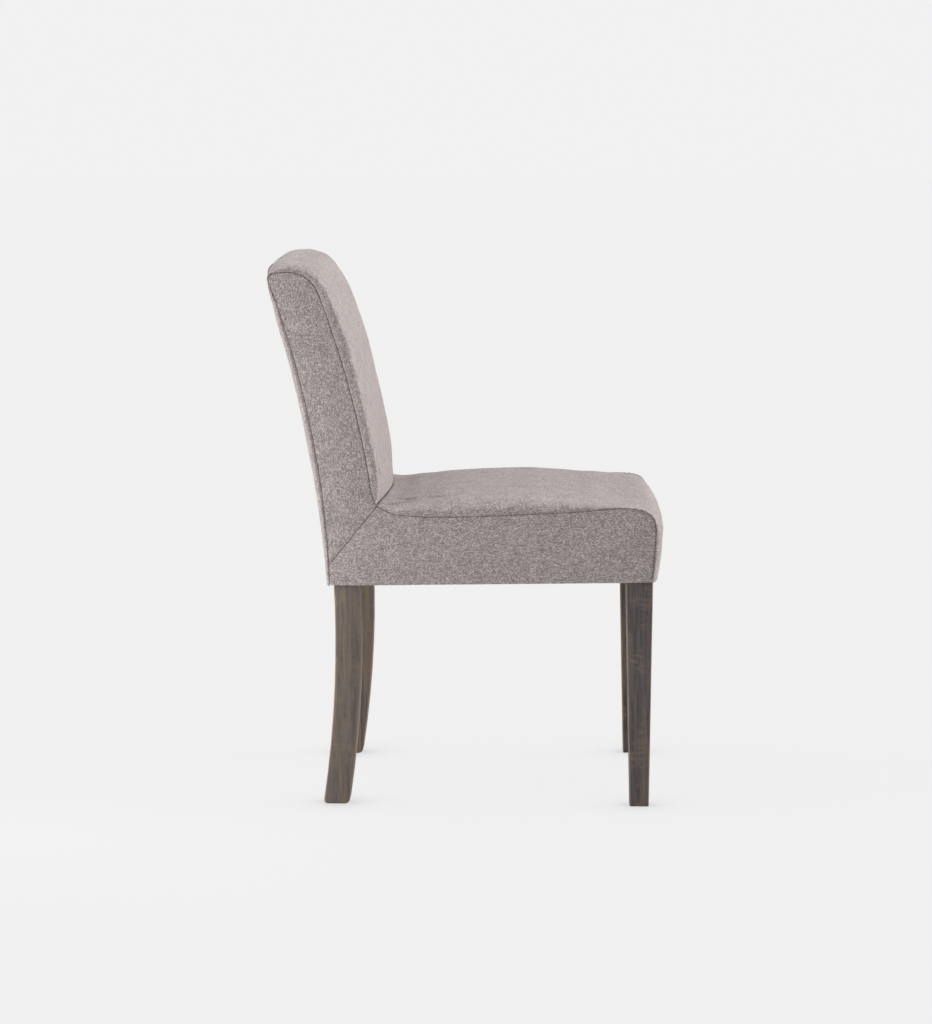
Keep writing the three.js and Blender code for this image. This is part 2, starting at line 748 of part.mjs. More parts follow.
// A bar across the back at a height, leaning as the posts lean there
function backBar(centre, length, thickness, height) {
  const middle = (rearFaceOfLeg(centre) + frontFaceOfLeg(centre)) / 2;
  const bar = new THREE.BoxGeometry(length, thickness, height);
  return bar.rotateX(-leanOfPost(centre)).translate(0, middle, centre);
}

const backRails = [
  {
    name: 'lower_back_rail',
    centre: seatSeamHeight + lowerRailRise,
    height: lowerRailHeight,
    thickness: lowerRailThickness,
  },
  {
    name: 'crest_rail',
    centre: backCornerHeight - crestRailDrop,
    height: crestRailHeight,
    thickness: crestRailThickness,
  },
];
const tenonBar = ({ centre, height }, grow) => backBar(
  centre,
  2 * (rearLegInnerX + tenonLength + grow),
  tenonThickness + 2 * grow,
  height - tenonShoulder + 2 * grow,
);

const glideAt = (x, y, radius, low, high) => rod([x, y, low], [x, y, high], radius);
const glideTop = glideHeight;

function glideRecess(x, y) {
  return glideAt(x, y, glideRadius + fit, glideProud - overrun, glideTop + fit);
}

addPair('rear_leg', cutBy(
  board(rearLegOutline(), rearLegInnerX, frameHalf),
  [
    sideRearTenon(fit),
    rearRailTenon(fit),
    ...backRails.map((rail) => tenonBar(rail, fit)),
    glideRecess(rearLegMiddleX, rearFootY),
  ],
), darkWood);
addPair('front_leg', cutBy(
  frontLegBody(),
  [sideFrontTenon(fit), frontRailTenon(fit), glideRecess(frontFootX, frontFootY)],
), darkWood);
addPair('rear_glide', glideAt(rearLegMiddleX, rearFootY, glideRadius, 0, glideTop), nylon);
addPair('front_glide', glideAt(frontFootX, frontFootY, glideRadius, 0, glideTop), nylon);

// Corner blocks: bars across the corners of the seat frame, screwed to both rails
// A corner is told by the side rail's inner face, the cross rail's inner face and which way is inward

const frontCornerOfFrame = {
  crossFace: frontRailY + railThickness / 2,
  inward: 1,
  legY: frontLegRear,
  legX: legInner,
};
const rearCornerOfFrame = {
  crossFace: rearRailY - railThickness / 2,
  inward: -1,
  legY: frontFaceOfLeg(railMiddle - blockHeight / 2),
  legX: rearLegInnerX,
};

function cornerReach({ crossFace, inward, legY, legX }) {
  return (sideRailInner - legX) + (legY - crossFace) * inward + 2 * fit;
}

function blockScrews(corner) {
  const reach = cornerReach(corner);
  const across = reach + screwFromEdge;
  const slope = reach + blockThickness * Math.SQRT2;
  const head = slope - across - screwHeadRadius - screwHeadHeight;
  const onSide = (depth) => [sideRailInner - depth, corner.crossFace + corner.inward * across, railMiddle];
  const onCross = (depth) => [sideRailInner - across, corner.crossFace + corner.inward * depth, railMiddle];
  return [onSide, onCross].map((place) => ({ place, head }));
}

function screwSolid({ place, head }, grow = 0) {
  const shank = rod(place(-screwBite - grow), place(head + grow), screwRadius + grow);
  const cap = rod(place(head - grow), place(head + screwHeadHeight + grow), screwHeadRadius + grow);
  return joined(shank, cap);
}

function screwPocket({ place, head }) {
  return rod(place(head), place(head + overrun), screwHeadRadius + fit);
}

function cornerBlock(corner) {
  const near = cornerReach(corner);
  const far = near + blockThickness * Math.SQRT2;
  const plan = [[fit, near], [near, fit], [far, fit], [fit, far]].map(([fromSide, fromCross]) => point(
    sideRailInner - fromSide,
    corner.crossFace + corner.inward * fromCross,
  ));
  const ring = (z) => plan.map((p) => new THREE.Vector3(p.x, p.y, z));
  const body = ringSolid([ring(railMiddle - blockHeight / 2), ring(railMiddle + blockHeight / 2)], plan);
  const screws = blockScrews(corner);
  return cutBy(body, [...screws.map((one) => screwSolid(one, fit)), ...screws.map(screwPocket)]);
}

const frontScrews = blockScrews(frontCornerOfFrame);
const rearScrews = blockScrews(rearCornerOfFrame);
const screwHoles = [...frontScrews, ...rearScrews].map((one) => screwSolid(one, fit));
frontScrews.forEach((one, i) => addPair(`front_block_screw_${i + 1}`, screwSolid(one), steel));
rearScrews.forEach((one, i) => addPair(`rear_block_screw_${i + 1}`, screwSolid(one), steel));
addPair('front_corner_block', cornerBlock(frontCornerOfFrame), paleWood);
addPair('rear_corner_block', cornerBlock(rearCornerOfFrame), paleWood);

// The rails themselves

const legKeepClear = slab(
  rearLegOutline().map((p) => point(p.x - (p.x < rearFaceOfLeg(p.y) - fit ? fit : 0), p.y)),
  rearLegInnerX - overrun,
  frameHalf + overrun,
);
const sideRailEnds = [frontLegRear + fit, -kneeForward - rearLegDepth / 2];
const sideRail = cutBy(slab([
  ...sideRailEnds.map((y) => point(y, hemAt(y) + underRail)),
  ...sideRailEnds.map((y) => point(y, railTopHeight)).reverse(),
], sideRailInner, frameHalf), [legKeepClear]);
addPair('side_seat_rail', cutBy(
  joined(joined(sideRail, sideFrontTenon(0)), sideRearTenon(0)),
  screwHoles,
), paleWood);

const bothSides = (tools) => [...tools, ...tools.map(mirrored)];

function crossRail(middleY, halfLength, underside, tenon) {
  const body = block(
    [-halfLength, middleY - railThickness / 2, underside],
    [halfLength, middleY + railThickness / 2, railTopHeight],
  );
  return cutBy(bothSides([tenon(0)]).reduce(joined, body), bothSides(screwHoles));
}

const frontRailUnder = frontHemHeight + underRail;
const rearRailUnder = rearHemHeight + underRail;
add('front_seat_rail', crossRail(frontRailY, legInner - fit, frontRailUnder, frontRailTenon), paleWood());
add('rear_seat_rail', crossRail(rearRailY, rearLegInnerX - fit, rearRailUnder, rearRailTenon), paleWood());

for (const rail of backRails) {
  const body = backBar(rail.centre, 2 * (rearLegInnerX - fit), rail.thickness, rail.height);
  add(rail.name, joined(body, tenonBar(rail, 0)), paleWood());
}

// Seat webbing: strips front to back, with cross strips woven over and under them

const longWebs = 5;
const crossWebs = 3;
const longWebPitch = (2 * legInner + frontLegWidth / 2) / (longWebs + 1);
const longWebCentre = (i) => (i - (longWebs - 1) / 2) * longWebPitch;
const clearFront = frontRailY + railThickness / 2;
const clearRear = rearRailY - railThickness / 2;

for (let i = 0; i < longWebs; i++) {
  const x = longWebCentre(i);
  add(`seat_web_long_${i + 1}`, block(
    [x - webWidth / 2, clearFront - webOverlap, webBase],
    [x + webWidth / 2, clearRear + webOverlap, webBase + webThickness],
  ), webbing());
}

// The underside of a cross web, from side rail to side rail: flat on each rail, then over and under
function crossWebLine(first) {
  const pass = webThickness + fit;
  const slope = (longWebPitch - webWidth) / 4;
  const end = sideRailInner + webOverlap;
  const line = [point(-end, webBase), point(-sideRailInner, webBase)];
  for (let i = 0; i < longWebs; i++) {
    const side = (i + first) % 2 ? -1 : 1;
    const [x, reach] = [longWebCentre(i), webWidth / 2 + slope];
    line.push(point(x - reach, webBase + side * pass), point(x + reach, webBase + side * pass));
  }
  return [...line, point(sideRailInner, webBase), point(end, webBase)];
}

for (let i = 0; i < crossWebs; i++) {
  const y = THREE.MathUtils.lerp(clearFront, clearRear, (i + 1) / (crossWebs + 1));
  const lower = crossWebLine(i);
  const outline = [...lower, ...lower.map((p) => point(p.x, p.y + webThickness)).reverse()];
  const ring = (at) => outline.map((p) => new THREE.Vector3(p.x, at, p.y));
  const strip = ringSolid([ring(y - webWidth / 2), ring(y + webWidth / 2)], outline);
  add(`seat_web_cross_${i + 1}`, strip, webbing());
}

add('seat_platform_cloth', block(
  [-frameHalf + clothInset, frontLegY + clothInset, seatClothBase],
  [frameHalf - clothInset, rearLegFrontAtHem - clothInset, seatClothBase + clothThickness],
), blackCloth());

// Back webbing across the posts, and its platform cloth

backWebShares.forEach((share, i) => {
  const centre = seatSeamHeight + backHeight * share;
  const reach = webWidth / 2;
  const lean = Math.atan((frontFaceOfLeg(centre + reach) - frontFaceOfLeg(centre - reach)) / webWidth);
  const web = new THREE.BoxGeometry(2 * (rearLegInnerX + webOverlap), webThickness, webWidth);
  web.rotateX(-lean).translate(0, frontFaceOfLeg(centre) - fit - webThickness / 2, centre);
  add(`back_web_${i + 1}`, web, webbing());
});

// A layer in front of the posts: how far its front stands off their front faces
const webLayer = webThickness + 3 * fit;
const clothLayer = webLayer + clothThickness + fit;

function inFrontOfPosts(standOff, from, to, steps) {
  return Array.from({ length: steps + 1 }, (_, i) => {
    const z = THREE.MathUtils.lerp(from, to, i / steps);
    return point(frontFaceOfLeg(z) - standOff, z);
  });
}

const backClothFoot = seatSeamHeight + backClothRise;
const backClothTop = postTopHeight - clothInset / 2;
add('back_platform_cloth', slab(
  [
    ...inFrontOfPosts(webLayer, backClothFoot, backClothTop, 8),
    ...inFrontOfPosts(webLayer + clothThickness, backClothFoot, backClothTop, 8).reverse(),
  ],
  -frameHalf + clothInset,
  frameHalf - clothInset,
), blackCloth());

// Padding: the space inside the covers, divided among the foams and pads

const wholeLoop = [...rearRun, ...insideBackRun.slice(1), ...seatRun.slice(1)];
const wholeSwell = [
  ...outsideBack.map((station) => station.swell),
  ...insideBack.slice(1).map((station) => station.swell),
  ...seatWrap.slice(1).map((station) => station.swell),
];

function insideOfCovers() {
  const loop = drawnIn(wholeLoop, () => coverThickness + paddingFit);
  const rings = crownSection.map(({ across, crown }) => loop.map((p, i) => {
    const at = p.clone().addScaledVector(wholeSwell[i], crown);
    return new THREE.Vector3(across * frameHalf, at.x, at.y);
  }));
  return ringSolid(rings, loop);
}

const space = insideOfCovers();
const acrossAll = (outline) => slab(outline, -frontWidth, frontWidth);
const wayUp = backCornerHeight + overrun;
const wayForward = -seatBoxDepth - overrun;
const wayBack = backRake + overrun;
const gutterReach = gutterForward;

// The line between seat padding and back padding: down through the gutter and along the mitre seam
function divider(shift) {
  return [
    point(gutter.x - gutterReach, wayUp),
    point(gutter.x - gutterReach, gutter.y + gutterReach),
    gutter.clone(),
    mitreFoot.clone(),
    point(wayBack, mitreFoot.y),
  ].map((p) => p.addScalar(shift));
}

const frameZone = acrossAll([
  ...inFrontOfPosts(clothLayer, rearHemHeight - overrun, postTopHeight + fit, 16),
  point(wayBack, postTopHeight + fit),
  point(wayBack, rearHemHeight - overrun),
]);
const seatZone = acrossAll([
  ...divider(0),
  point(wayBack, seatFoamBase - overrun),
  point(wayForward, seatFoamBase - overrun),
  point(wayForward, wayUp),
]);
const backZone = acrossAll([...divider(fit), point(wayBack, wayUp)]);
const belowPlatform = block([-frontWidth, wayForward, 0], [frontWidth, wayBack, seatFoamBase]);

add('seat_foam', cutBy(common(space, seatZone), [frameZone, belowPlatform]), foam());
add('back_foam', cutBy(common(space, backZone), [frameZone]), foam());
add('front_rail_pad', common(space, block(
  [-frontWidth, wayForward, frontRailUnder],
  [frontWidth, frontLegY - fit, seatFoamBase - fit],
)), wadding());

const behindPosts = Array.from({ length: 17 }, (_, i) => {
  const z = THREE.MathUtils.lerp(rearRailUnder, postTopHeight, i / 16);
  return point(rearFaceOfLeg(z) + fit, z);
});
add('outside_back_pad', common(space, acrossAll([
  ...behindPosts,
  point(wayBack, postTopHeight),
  point(wayBack, rearRailUnder),
])), wadding());

// Dust cover under the seat, cut out around the legs

const dustDrop = 2 * fit;
const dustHalf = halfWidth - dustCoverInset;
const dustFront = frontLegY + dustCoverInset / 2;
const dustRear = -dustCoverInset;

const legHoles = bothSides([
  block([legInner - 2 * fit, wayForward, 0], [halfWidth, frontLegRear + 2 * fit, railTopHeight]),
  block([rearLegInnerX - 2 * fit, rearLegFrontAtHem, 0], [halfWidth, wayBack, railTopHeight]),
]);

add('dust_cover', cutBy(
  slab(hemStrip(dustFront, dustRear, -dustDrop - dustCoverThickness, -dustDrop), -dustHalf, dustHalf),
  legHoles,
), blackCloth());

// Stand the chair with its middle over the origin
const outer = new THREE.Box3().setFromObject(chair);
chair.position.y = -(outer.min.y + outer.max.y) / 2;

export default chair;
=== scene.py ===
# %% [markdown]
# # An upholstered parsons chair
#
# The chair is a wooden frame under foam and a sewn cover of linen-look cloth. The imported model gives
# the frame, the padding and every hidden piece in their places. This lesson dresses it: each panel of
# the cover is made again as real cloth with seams, gathers and stitches, the legs get rounded edges
# and a dark stain, and the hidden pieces get their own finishes.
#
# All lengths are in metres. Z is up, the front of the seat faces -Y, and X runs across the chair.

# %% Load the frame
import json
import math
import bpy
import bmesh
import numpy as np
from mathutils import Matrix, Vector, noise
from mathutils.bvhtree import BVHTree
from mathutils.kdtree import KDTree

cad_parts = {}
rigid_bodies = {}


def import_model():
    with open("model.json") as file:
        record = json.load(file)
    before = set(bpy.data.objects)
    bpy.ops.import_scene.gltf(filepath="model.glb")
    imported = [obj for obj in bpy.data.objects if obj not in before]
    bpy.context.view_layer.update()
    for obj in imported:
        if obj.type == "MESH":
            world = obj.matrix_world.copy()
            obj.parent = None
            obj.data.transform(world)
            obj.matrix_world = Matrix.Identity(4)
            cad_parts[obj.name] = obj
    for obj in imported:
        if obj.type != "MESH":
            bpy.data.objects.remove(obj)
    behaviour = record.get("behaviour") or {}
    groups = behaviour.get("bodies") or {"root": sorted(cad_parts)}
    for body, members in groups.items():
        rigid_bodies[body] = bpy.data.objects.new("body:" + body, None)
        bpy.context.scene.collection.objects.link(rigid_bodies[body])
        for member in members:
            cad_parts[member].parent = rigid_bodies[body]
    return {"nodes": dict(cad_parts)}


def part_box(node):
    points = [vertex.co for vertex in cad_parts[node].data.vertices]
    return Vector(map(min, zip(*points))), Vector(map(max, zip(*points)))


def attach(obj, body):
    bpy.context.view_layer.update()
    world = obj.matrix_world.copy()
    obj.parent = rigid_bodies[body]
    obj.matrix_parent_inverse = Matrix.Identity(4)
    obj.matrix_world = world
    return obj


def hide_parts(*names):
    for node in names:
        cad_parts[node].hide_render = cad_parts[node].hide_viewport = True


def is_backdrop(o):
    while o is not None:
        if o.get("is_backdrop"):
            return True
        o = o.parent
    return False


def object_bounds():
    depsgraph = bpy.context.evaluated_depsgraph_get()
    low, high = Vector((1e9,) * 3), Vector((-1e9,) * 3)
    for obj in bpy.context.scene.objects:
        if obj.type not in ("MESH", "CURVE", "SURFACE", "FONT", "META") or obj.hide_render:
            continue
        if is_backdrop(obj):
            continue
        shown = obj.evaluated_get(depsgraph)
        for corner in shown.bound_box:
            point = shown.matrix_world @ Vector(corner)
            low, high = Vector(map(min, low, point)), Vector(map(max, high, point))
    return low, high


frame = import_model()
frame_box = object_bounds()
MM = 0.001
print("frame:", len(frame["nodes"]), "nodes, from", [round(v, 4) for v in frame_box[0]])

# %% [markdown]
# ## Camera and light first
#
# The photograph looks at the chair's side from a little above and from far away, so that the far legs
# almost hide behind the near ones. The camera is level with no shift, turned by two small angles.
# Setting it first means that every later step can be judged in the final view.

# %% Camera
def put_in_scene(name, data):
    """An object of this data, linked to the scene."""
    thing = bpy.data.objects.new(name, data)
    bpy.context.scene.collection.objects.link(thing)
    return thing


image_width, image_height = 932, 1024
focal_pixels = 3314.6
meeting_x, meeting_y = 539.9, 72.5  # the pixel where lines across the chair would meet
camera_pan = math.atan((meeting_x - image_width / 2) / focal_pixels)
camera_dip = math.atan((image_height / 2 - meeting_y) / focal_pixels * math.cos(camera_pan))
camera_data = bpy.data.cameras.new("side_camera")
camera_data.sensor_fit = "VERTICAL"
camera_data.sensor_height = 36
camera_data.lens = focal_pixels * camera_data.sensor_height / image_height
camera_data.clip_end = 100
camera = put_in_scene("side_camera", camera_data)
looking = Vector((
    math.cos(camera_dip) * math.cos(camera_pan),
    math.cos(camera_dip) * math.sin(camera_pan),
    -math.sin(camera_dip),
))
camera.location = (-5.2697, -0.1132, 1.1312)
camera.rotation_euler = looking.to_track_quat("-Z", "Y").to_euler()
bpy.context.scene.camera = camera
print("camera lens", round(camera_data.lens, 2), "mm, looking", [round(v, 3) for v in looking])

# %% [markdown]
# ## Node helpers
#
# Every finish here is made of shader nodes. A few short helpers keep the recipes readable. They add a
# node and set or link its inputs, do a step of arithmetic, blend colours, start a group or a material,
# and turn a height into relief.

# %% Helpers for shader nodes
def add_node(tree, kind, inputs=None, **settings):
    """Adds a node; an input's value is a number, a colour or another node's output."""
    node = tree.nodes.new(kind)
    for key, value in settings.items():
        setattr(node, key, value)
    for key, value in (inputs or {}).items():
        if isinstance(value, bpy.types.NodeSocket):
            tree.links.new(value, node.inputs[key])
        else:
            node.inputs[key].default_value = value
    return node


def calculate(tree, operation, *values):
    """One step of arithmetic, as a Math node's output."""
    node = add_node(tree, "ShaderNodeMath", dict(enumerate(values)), operation=operation)
    return node.outputs[0]


def noise_in(tree, place, **inputs):
    """A Noise Texture node at a place, with its other inputs by name."""
    return add_node(tree, "ShaderNodeTexNoise", {"Vector": place, **inputs})


def between(tree, value, low, high, to_low=0.0, to_high=1.0):
    """Spreads a range of values over another, eased at both ends."""
    node = add_node(tree, "ShaderNodeMapRange", {
        "Value": value, "From Min": low, "From Max": high, "To Min": to_low, "To Max": to_high,
    }, interpolation_type="SMOOTHSTEP")
    return node.outputs["Result"]


def blended(tree, factor, first, second):
    """Mixes two colours."""
    node = add_node(tree, "ShaderNodeMix", data_type="RGBA")
    for socket, value in ((node.inputs[0], factor), (node.inputs[6], first), (node.inputs[7], second)):
        if isinstance(value, bpy.types.NodeSocket):
            tree.links.new(value, socket)
        else:
            socket.default_value = value
    return node.outputs[2]


def start_group(name, inputs, outputs):
    """A node group with named number, colour or vector sockets."""
    kinds = {"value": "NodeSocketFloat", "colour": "NodeSocketColor", "vector": "NodeSocketVector"}
    group = bpy.data.node_groups.new(name, "ShaderNodeTree")
    for label, kind, default in inputs:
        socket = group.interface.new_socket(label, in_out="INPUT", socket_type=kinds[kind])
        if default is not None:
            socket.default_value = default
    for label, kind in outputs:
        group.interface.new_socket(label, in_out="OUTPUT", socket_type=kinds[kind])
    return group, group.nodes.new("NodeGroupInput"), group.nodes.new("NodeGroupOutput")


def start_material(name, **fixed):
    """A material, its node tree and its Principled shader with the sockets that stay the same."""
    material = bpy.data.materials.new(name)
    material.use_nodes = True
    shader = material.node_tree.nodes["Principled BSDF"]
    for label, value in fixed.items():
        shader.inputs[label.replace("_", " ")].default_value = value
    return material, material.node_tree, shader


def add_relief(tree, shader, height, strength, distance):
    """Feeds a height to the shader's normal; the distance is how deep it goes, in metres."""
    bump = add_node(tree, "ShaderNodeBump", {"Height": height, "Strength": strength, "Distance": distance})
    tree.links.new(bump.outputs[0], shader.inputs["Normal"])


def colour(red, green, blue):
    """A screen colour from 0 to 255 as the linear colour that a shader takes."""
    linear = [((c / 255 + 0.055) / 1.055) ** 2.4 if c > 10 else c / 255 / 12.92 for c in (red, green, blue)]
    return (*linear, 1.0)


# %% [markdown]
# ## The cloth
#
# The cover is a heathered linen-look cloth: taupe threads woven with pinkish white ones, so that it
# reads as grey-brown from afar and as a salt-and-pepper weave from near. Its flecks are two threads
# long. Slubs, which are thicker stretches of a thread, draw short streaks along the weft. The pattern
# could sit on object coordinates, but threads follow the surface, so it reads a UV map whose unit is
# one metre of cloth.

# %% Weave group
weave, weave_in, weave_out = start_group(
    "linen_weave",
    [("Cloth", "vector", None), ("Thread", "value", 0.001), ("Slub Length", "value", 0.005)],
    [("Height", "value"), ("Light Fleck", "value"), ("Dark Fleck", "value"), ("Cloud", "value")],
)
cloth_place = weave_in.outputs["Cloth"]
thread = weave_in.outputs["Thread"]
slub = weave_in.outputs["Slub Length"]
wander = noise_in(weave, cloth_place, Scale=12.0, Detail=1.0)
wander_way = add_node(weave, "ShaderNodeVectorMath", {
    0: wander.outputs["Color"], 1: (0.5, 0.5, 0.5),
}, operation="SUBTRACT")
wander_width = 0.0006
wander_by = add_node(weave, "ShaderNodeVectorMath", {
    0: wander_way.outputs[0], "Scale": wander_width,
}, operation="SCALE")
loose_place = add_node(weave, "ShaderNodeVectorMath", {
    0: cloth_place, 1: wander_by.outputs[0],
}, operation="ADD")
split = add_node(weave, "ShaderNodeSeparateXYZ", {0: loose_place.outputs[0]})
along_weft, along_warp = split.outputs[0], split.outputs[1]
weft_number = calculate(weave, "FLOOR", calculate(weave, "DIVIDE", along_warp, thread))
warp_number = calculate(weave, "FLOOR", calculate(weave, "DIVIDE", along_weft, thread))
tones_apart = 7.31


def thread_tone(along, number, length, seed):
    """The tone of one thread along its length; each number reads the noise in another place."""
    vector = add_node(weave, "ShaderNodeCombineXYZ", {
        0: calculate(weave, "DIVIDE", along, length),
        1: calculate(weave, "MULTIPLY", number, tones_apart),
        2: seed,
    })
    return noise_in(weave, vector.outputs[0], Scale=1.0, Detail=1.0, Roughness=0.6).outputs["Fac"]


def round_thread(across):
    """The rounded section of the threads across a direction, from 0 to 1."""
    part = calculate(weave, "FRACT", calculate(weave, "DIVIDE", across, thread))
    return calculate(weave, "SINE", calculate(weave, "MULTIPLY", part, math.pi))


fleck_stagger, fleck_threads = 1.3, 2.0  # both counted in threads
weft_level = 1.1  # a lower level lets the weft lie on top more often
staggered = calculate(weave, "ADD", warp_number, calculate(weave, "MULTIPLY", weft_number, fleck_stagger))
warp_pair = calculate(weave, "FLOOR", calculate(weave, "DIVIDE", staggered, fleck_threads))
crossing = add_node(weave, "ShaderNodeCombineXYZ", {0: warp_pair, 1: weft_number, 2: 0.5})
chance = add_node(weave, "ShaderNodeTexWhiteNoise", {"Vector": crossing.outputs[0]}).outputs["Value"]
diagonal = calculate(weave, "FLOORED_MODULO", calculate(weave, "ADD", warp_number, weft_number), 3.0)
weft_on_top = calculate(weave, "GREATER_THAN", calculate(weave, "ADD", diagonal, chance), weft_level)


def topmost(weft_value, warp_value):
    """Takes the value of whichever thread lies on top at a crossing."""
    node = add_node(weave, "ShaderNodeMix", {0: weft_on_top, 2: warp_value, 3: weft_value}, data_type="FLOAT")
    return node.outputs[0]


threads_tone = topmost(
    thread_tone(along_weft, weft_number, slub, 3.0),
    thread_tone(along_warp, warp_number, calculate(weave, "MULTIPLY", slub, 0.5), 11.0),
)
tone = 0.5
for value, mean, share in ((threads_tone, 0.5, 0.32), (chance, 0.5, 0.34), (weft_on_top, 0.63, 0.1)):
    part = calculate(weave, "MULTIPLY", calculate(weave, "SUBTRACT", value, mean), share)
    tone = calculate(weave, "ADD", tone, part)
light_fleck = between(weave, tone, 0.5, 0.72)
dark_fleck = between(weave, tone, 0.5, 0.28)
cloud_place = add_node(weave, "ShaderNodeVectorMath", {
    0: cloth_place, 1: (34.0, 42.0, 30.0),
}, operation="MULTIPLY")
cloud = noise_in(weave, cloud_place.outputs[0], Scale=1.0, Detail=5.0, Roughness=0.7).outputs["Fac"]
relief = topmost(round_thread(along_warp), round_thread(along_weft))
height = calculate(weave, "ADD", relief, calculate(weave, "MULTIPLY", tone, 0.8))
for label, output in (
    ("Height", height), ("Light Fleck", light_fleck), ("Dark Fleck", dark_fleck), ("Cloud", cloud),
):
    weave.links.new(output, weave_out.inputs[label])
print("weave group:", len(weave.nodes), "nodes")


# %% Cloth material
def cloth_material(name, ground, fleck, shade, flecks, thread_width, slub_length, cloudiness):
    """Heathered cloth: a ground colour, light flecks, dark flecks and slow clouds of tone."""
    material, tree, shader = start_material(
        name, Roughness=0.92, Sheen_Weight=0.18, Sheen_Roughness=0.5, Specular_IOR_Level=0.18,
    )
    place = add_node(tree, "ShaderNodeUVMap", uv_map="cloth")
    threads = add_node(tree, "ShaderNodeGroup", node_tree=weave)
    tree.links.new(place.outputs[0], threads.inputs["Cloth"])
    threads.inputs["Thread"].default_value = thread_width
    threads.inputs["Slub Length"].default_value = slub_length
    clouded = blended(tree, between(tree, threads.outputs["Cloud"], 0.3, 0.7), shade, ground)
    toned = blended(tree, cloudiness, ground, clouded)
    shaded = blended(tree, calculate(tree, "MULTIPLY", threads.outputs["Dark Fleck"], flecks), toned, shade)
    flecked = blended(tree, calculate(tree, "MULTIPLY", threads.outputs["Light Fleck"], flecks), shaded, fleck)
    tree.links.new(flecked, shader.inputs["Base Color"])
    add_relief(tree, shader, threads.outputs["Height"], 0.4, 0.0004)
    return material


fleck_tones = (colour(242, 230, 227), colour(102, 92, 90))
panel_cloth = cloth_material(
    "taupe_linen_on_sides", colour(161, 151, 149), *fleck_tones,
    flecks=0.62, thread_width=0.0009, slub_length=0.009, cloudiness=0.25,
)
wrap_cloth = cloth_material(
    "taupe_linen_on_wraps", colour(163, 152, 149), *fleck_tones,
    flecks=0.55, thread_width=0.0009, slub_length=0.014, cloudiness=0.45,
)
print("cloth:", panel_cloth.name, wrap_cloth.name)

# %% [markdown]
# ## Where the seams run
#
# Each wrap of the cover, which is the seat, the inside back or the outside back, runs between a seam
# at either side. These rows are the wrap's side view, in millimetres and in order: the seam's Y and Z,
# then the Y and Z that the middle of the cloth swells to. They are the padding's own lines, moved by a
# few millimetres where the photograph shows a seam elsewhere. A smooth line through the rows gives
# every place in between.

# %% Seam rows
outside_back_rows = [
    (209.9, 346.5, 217.8, 346.5), (210.5, 362.0, 219.2, 361.6), (211.2, 377.5, 220.9, 376.9),
    (213.9, 418.3, 225.8, 417.4), (217.7, 459.1, 231.3, 457.7), (222.5, 499.8, 237.6, 497.8),
    (229.0, 540.3, 244.7, 537.7), (236.2, 580.7, 252.3, 577.5), (244.6, 620.9, 260.3, 617.2),
    (254.0, 660.8, 269.4, 656.7), (264.6, 700.6, 279.3, 696.0), (276.2, 740.0, 290.1, 735.0),
    (288.6, 779.2, 298.9, 774.8), (300.9, 813.5, 305.8, 813.2), (302.0, 818.0, 305.7, 821.8),
    (301.5, 821.5, 303.4, 836.4),
]
inside_back_rows = [
    (301.5, 821.5, 303.4, 836.4), (299.0, 824.3, 300.8, 841.4), (294.5, 826.2, 295.6, 845.4),
    (284.5, 828.0, 284.8, 849.4), (275.1, 828.8, 275.1, 850.3), (266.6, 828.7, 264.3, 850.8),
    (255.5, 826.2, 249.5, 847.8), (245.8, 821.9, 235.6, 840.7), (237.7, 815.5, 224.4, 829.4),
    (231.0, 807.3, 216.3, 816.7), (225.9, 797.1, 208.2, 804.4), (216.7, 772.5, 195.1, 780.3),
    (207.9, 747.6, 185.3, 755.4), (199.6, 722.7, 176.4, 730.2), (191.7, 697.6, 168.4, 704.7),
    (184.3, 672.3, 161.6, 678.8), (177.4, 647.0, 155.6, 652.7), (170.9, 621.5, 149.7, 626.7),
    (164.9, 595.9, 143.7, 600.7), (159.3, 570.2, 138.1, 574.6), (154.2, 544.4, 133.0, 548.4),
    (149.6, 518.5, 128.6, 521.8), (145.4, 492.5, 125.6, 494.9), (143.4, 484.2, 124.2, 487.0),
    (140.5, 476.2, 122.8, 478.4), (136.9, 468.5, 121.4, 469.5),
]
seat_rows = [
    (136.9, 468.5, 121.4, 469.5), (112.6, 457.9, 104.8, 473.4), (86.3, 454.6, 84.2, 476.6),
    (59.8, 453.1, 59.0, 479.1), (33.3, 453.0, 33.7, 482.7), (6.7, 453.8, 7.8, 484.3),
    (-19.8, 454.9, -18.5, 485.8), (-46.3, 456.0, -44.9, 486.9), (-72.8, 457.2, -71.4, 487.6),
    (-99.3, 458.4, -98.0, 487.9), (-125.8, 459.6, -124.5, 486.1), (-152.3, 461.0, -150.9, 483.3),
    (-178.8, 462.9, -177.3, 480.3), (-205.2, 465.6, -204.0, 478.4), (-231.6, 468.1, -231.4, 472.7),
    (-258.1, 468.1, -258.2, 469.6), (-268.5, 466.9, -269.1, 468.4), (-277.1, 464.2, -278.3, 466.3),
    (-283.7, 460.1, -286.0, 462.4), (-288.5, 453.4, -292.6, 455.6), (-291.4, 444.9, -299.8, 446.6),
    (-292.4, 434.5, -306.3, 434.7), (-291.8, 414.6, -306.0, 413.8), (-290.5, 394.7, -305.0, 393.4),
    (-288.6, 374.8, -302.5, 373.1), (-286.1, 355.0, -299.9, 355.0),
]
mitre_foot = (0.21124, 0.37747)
print("rows:", len(outside_back_rows), len(inside_back_rows), len(seat_rows))


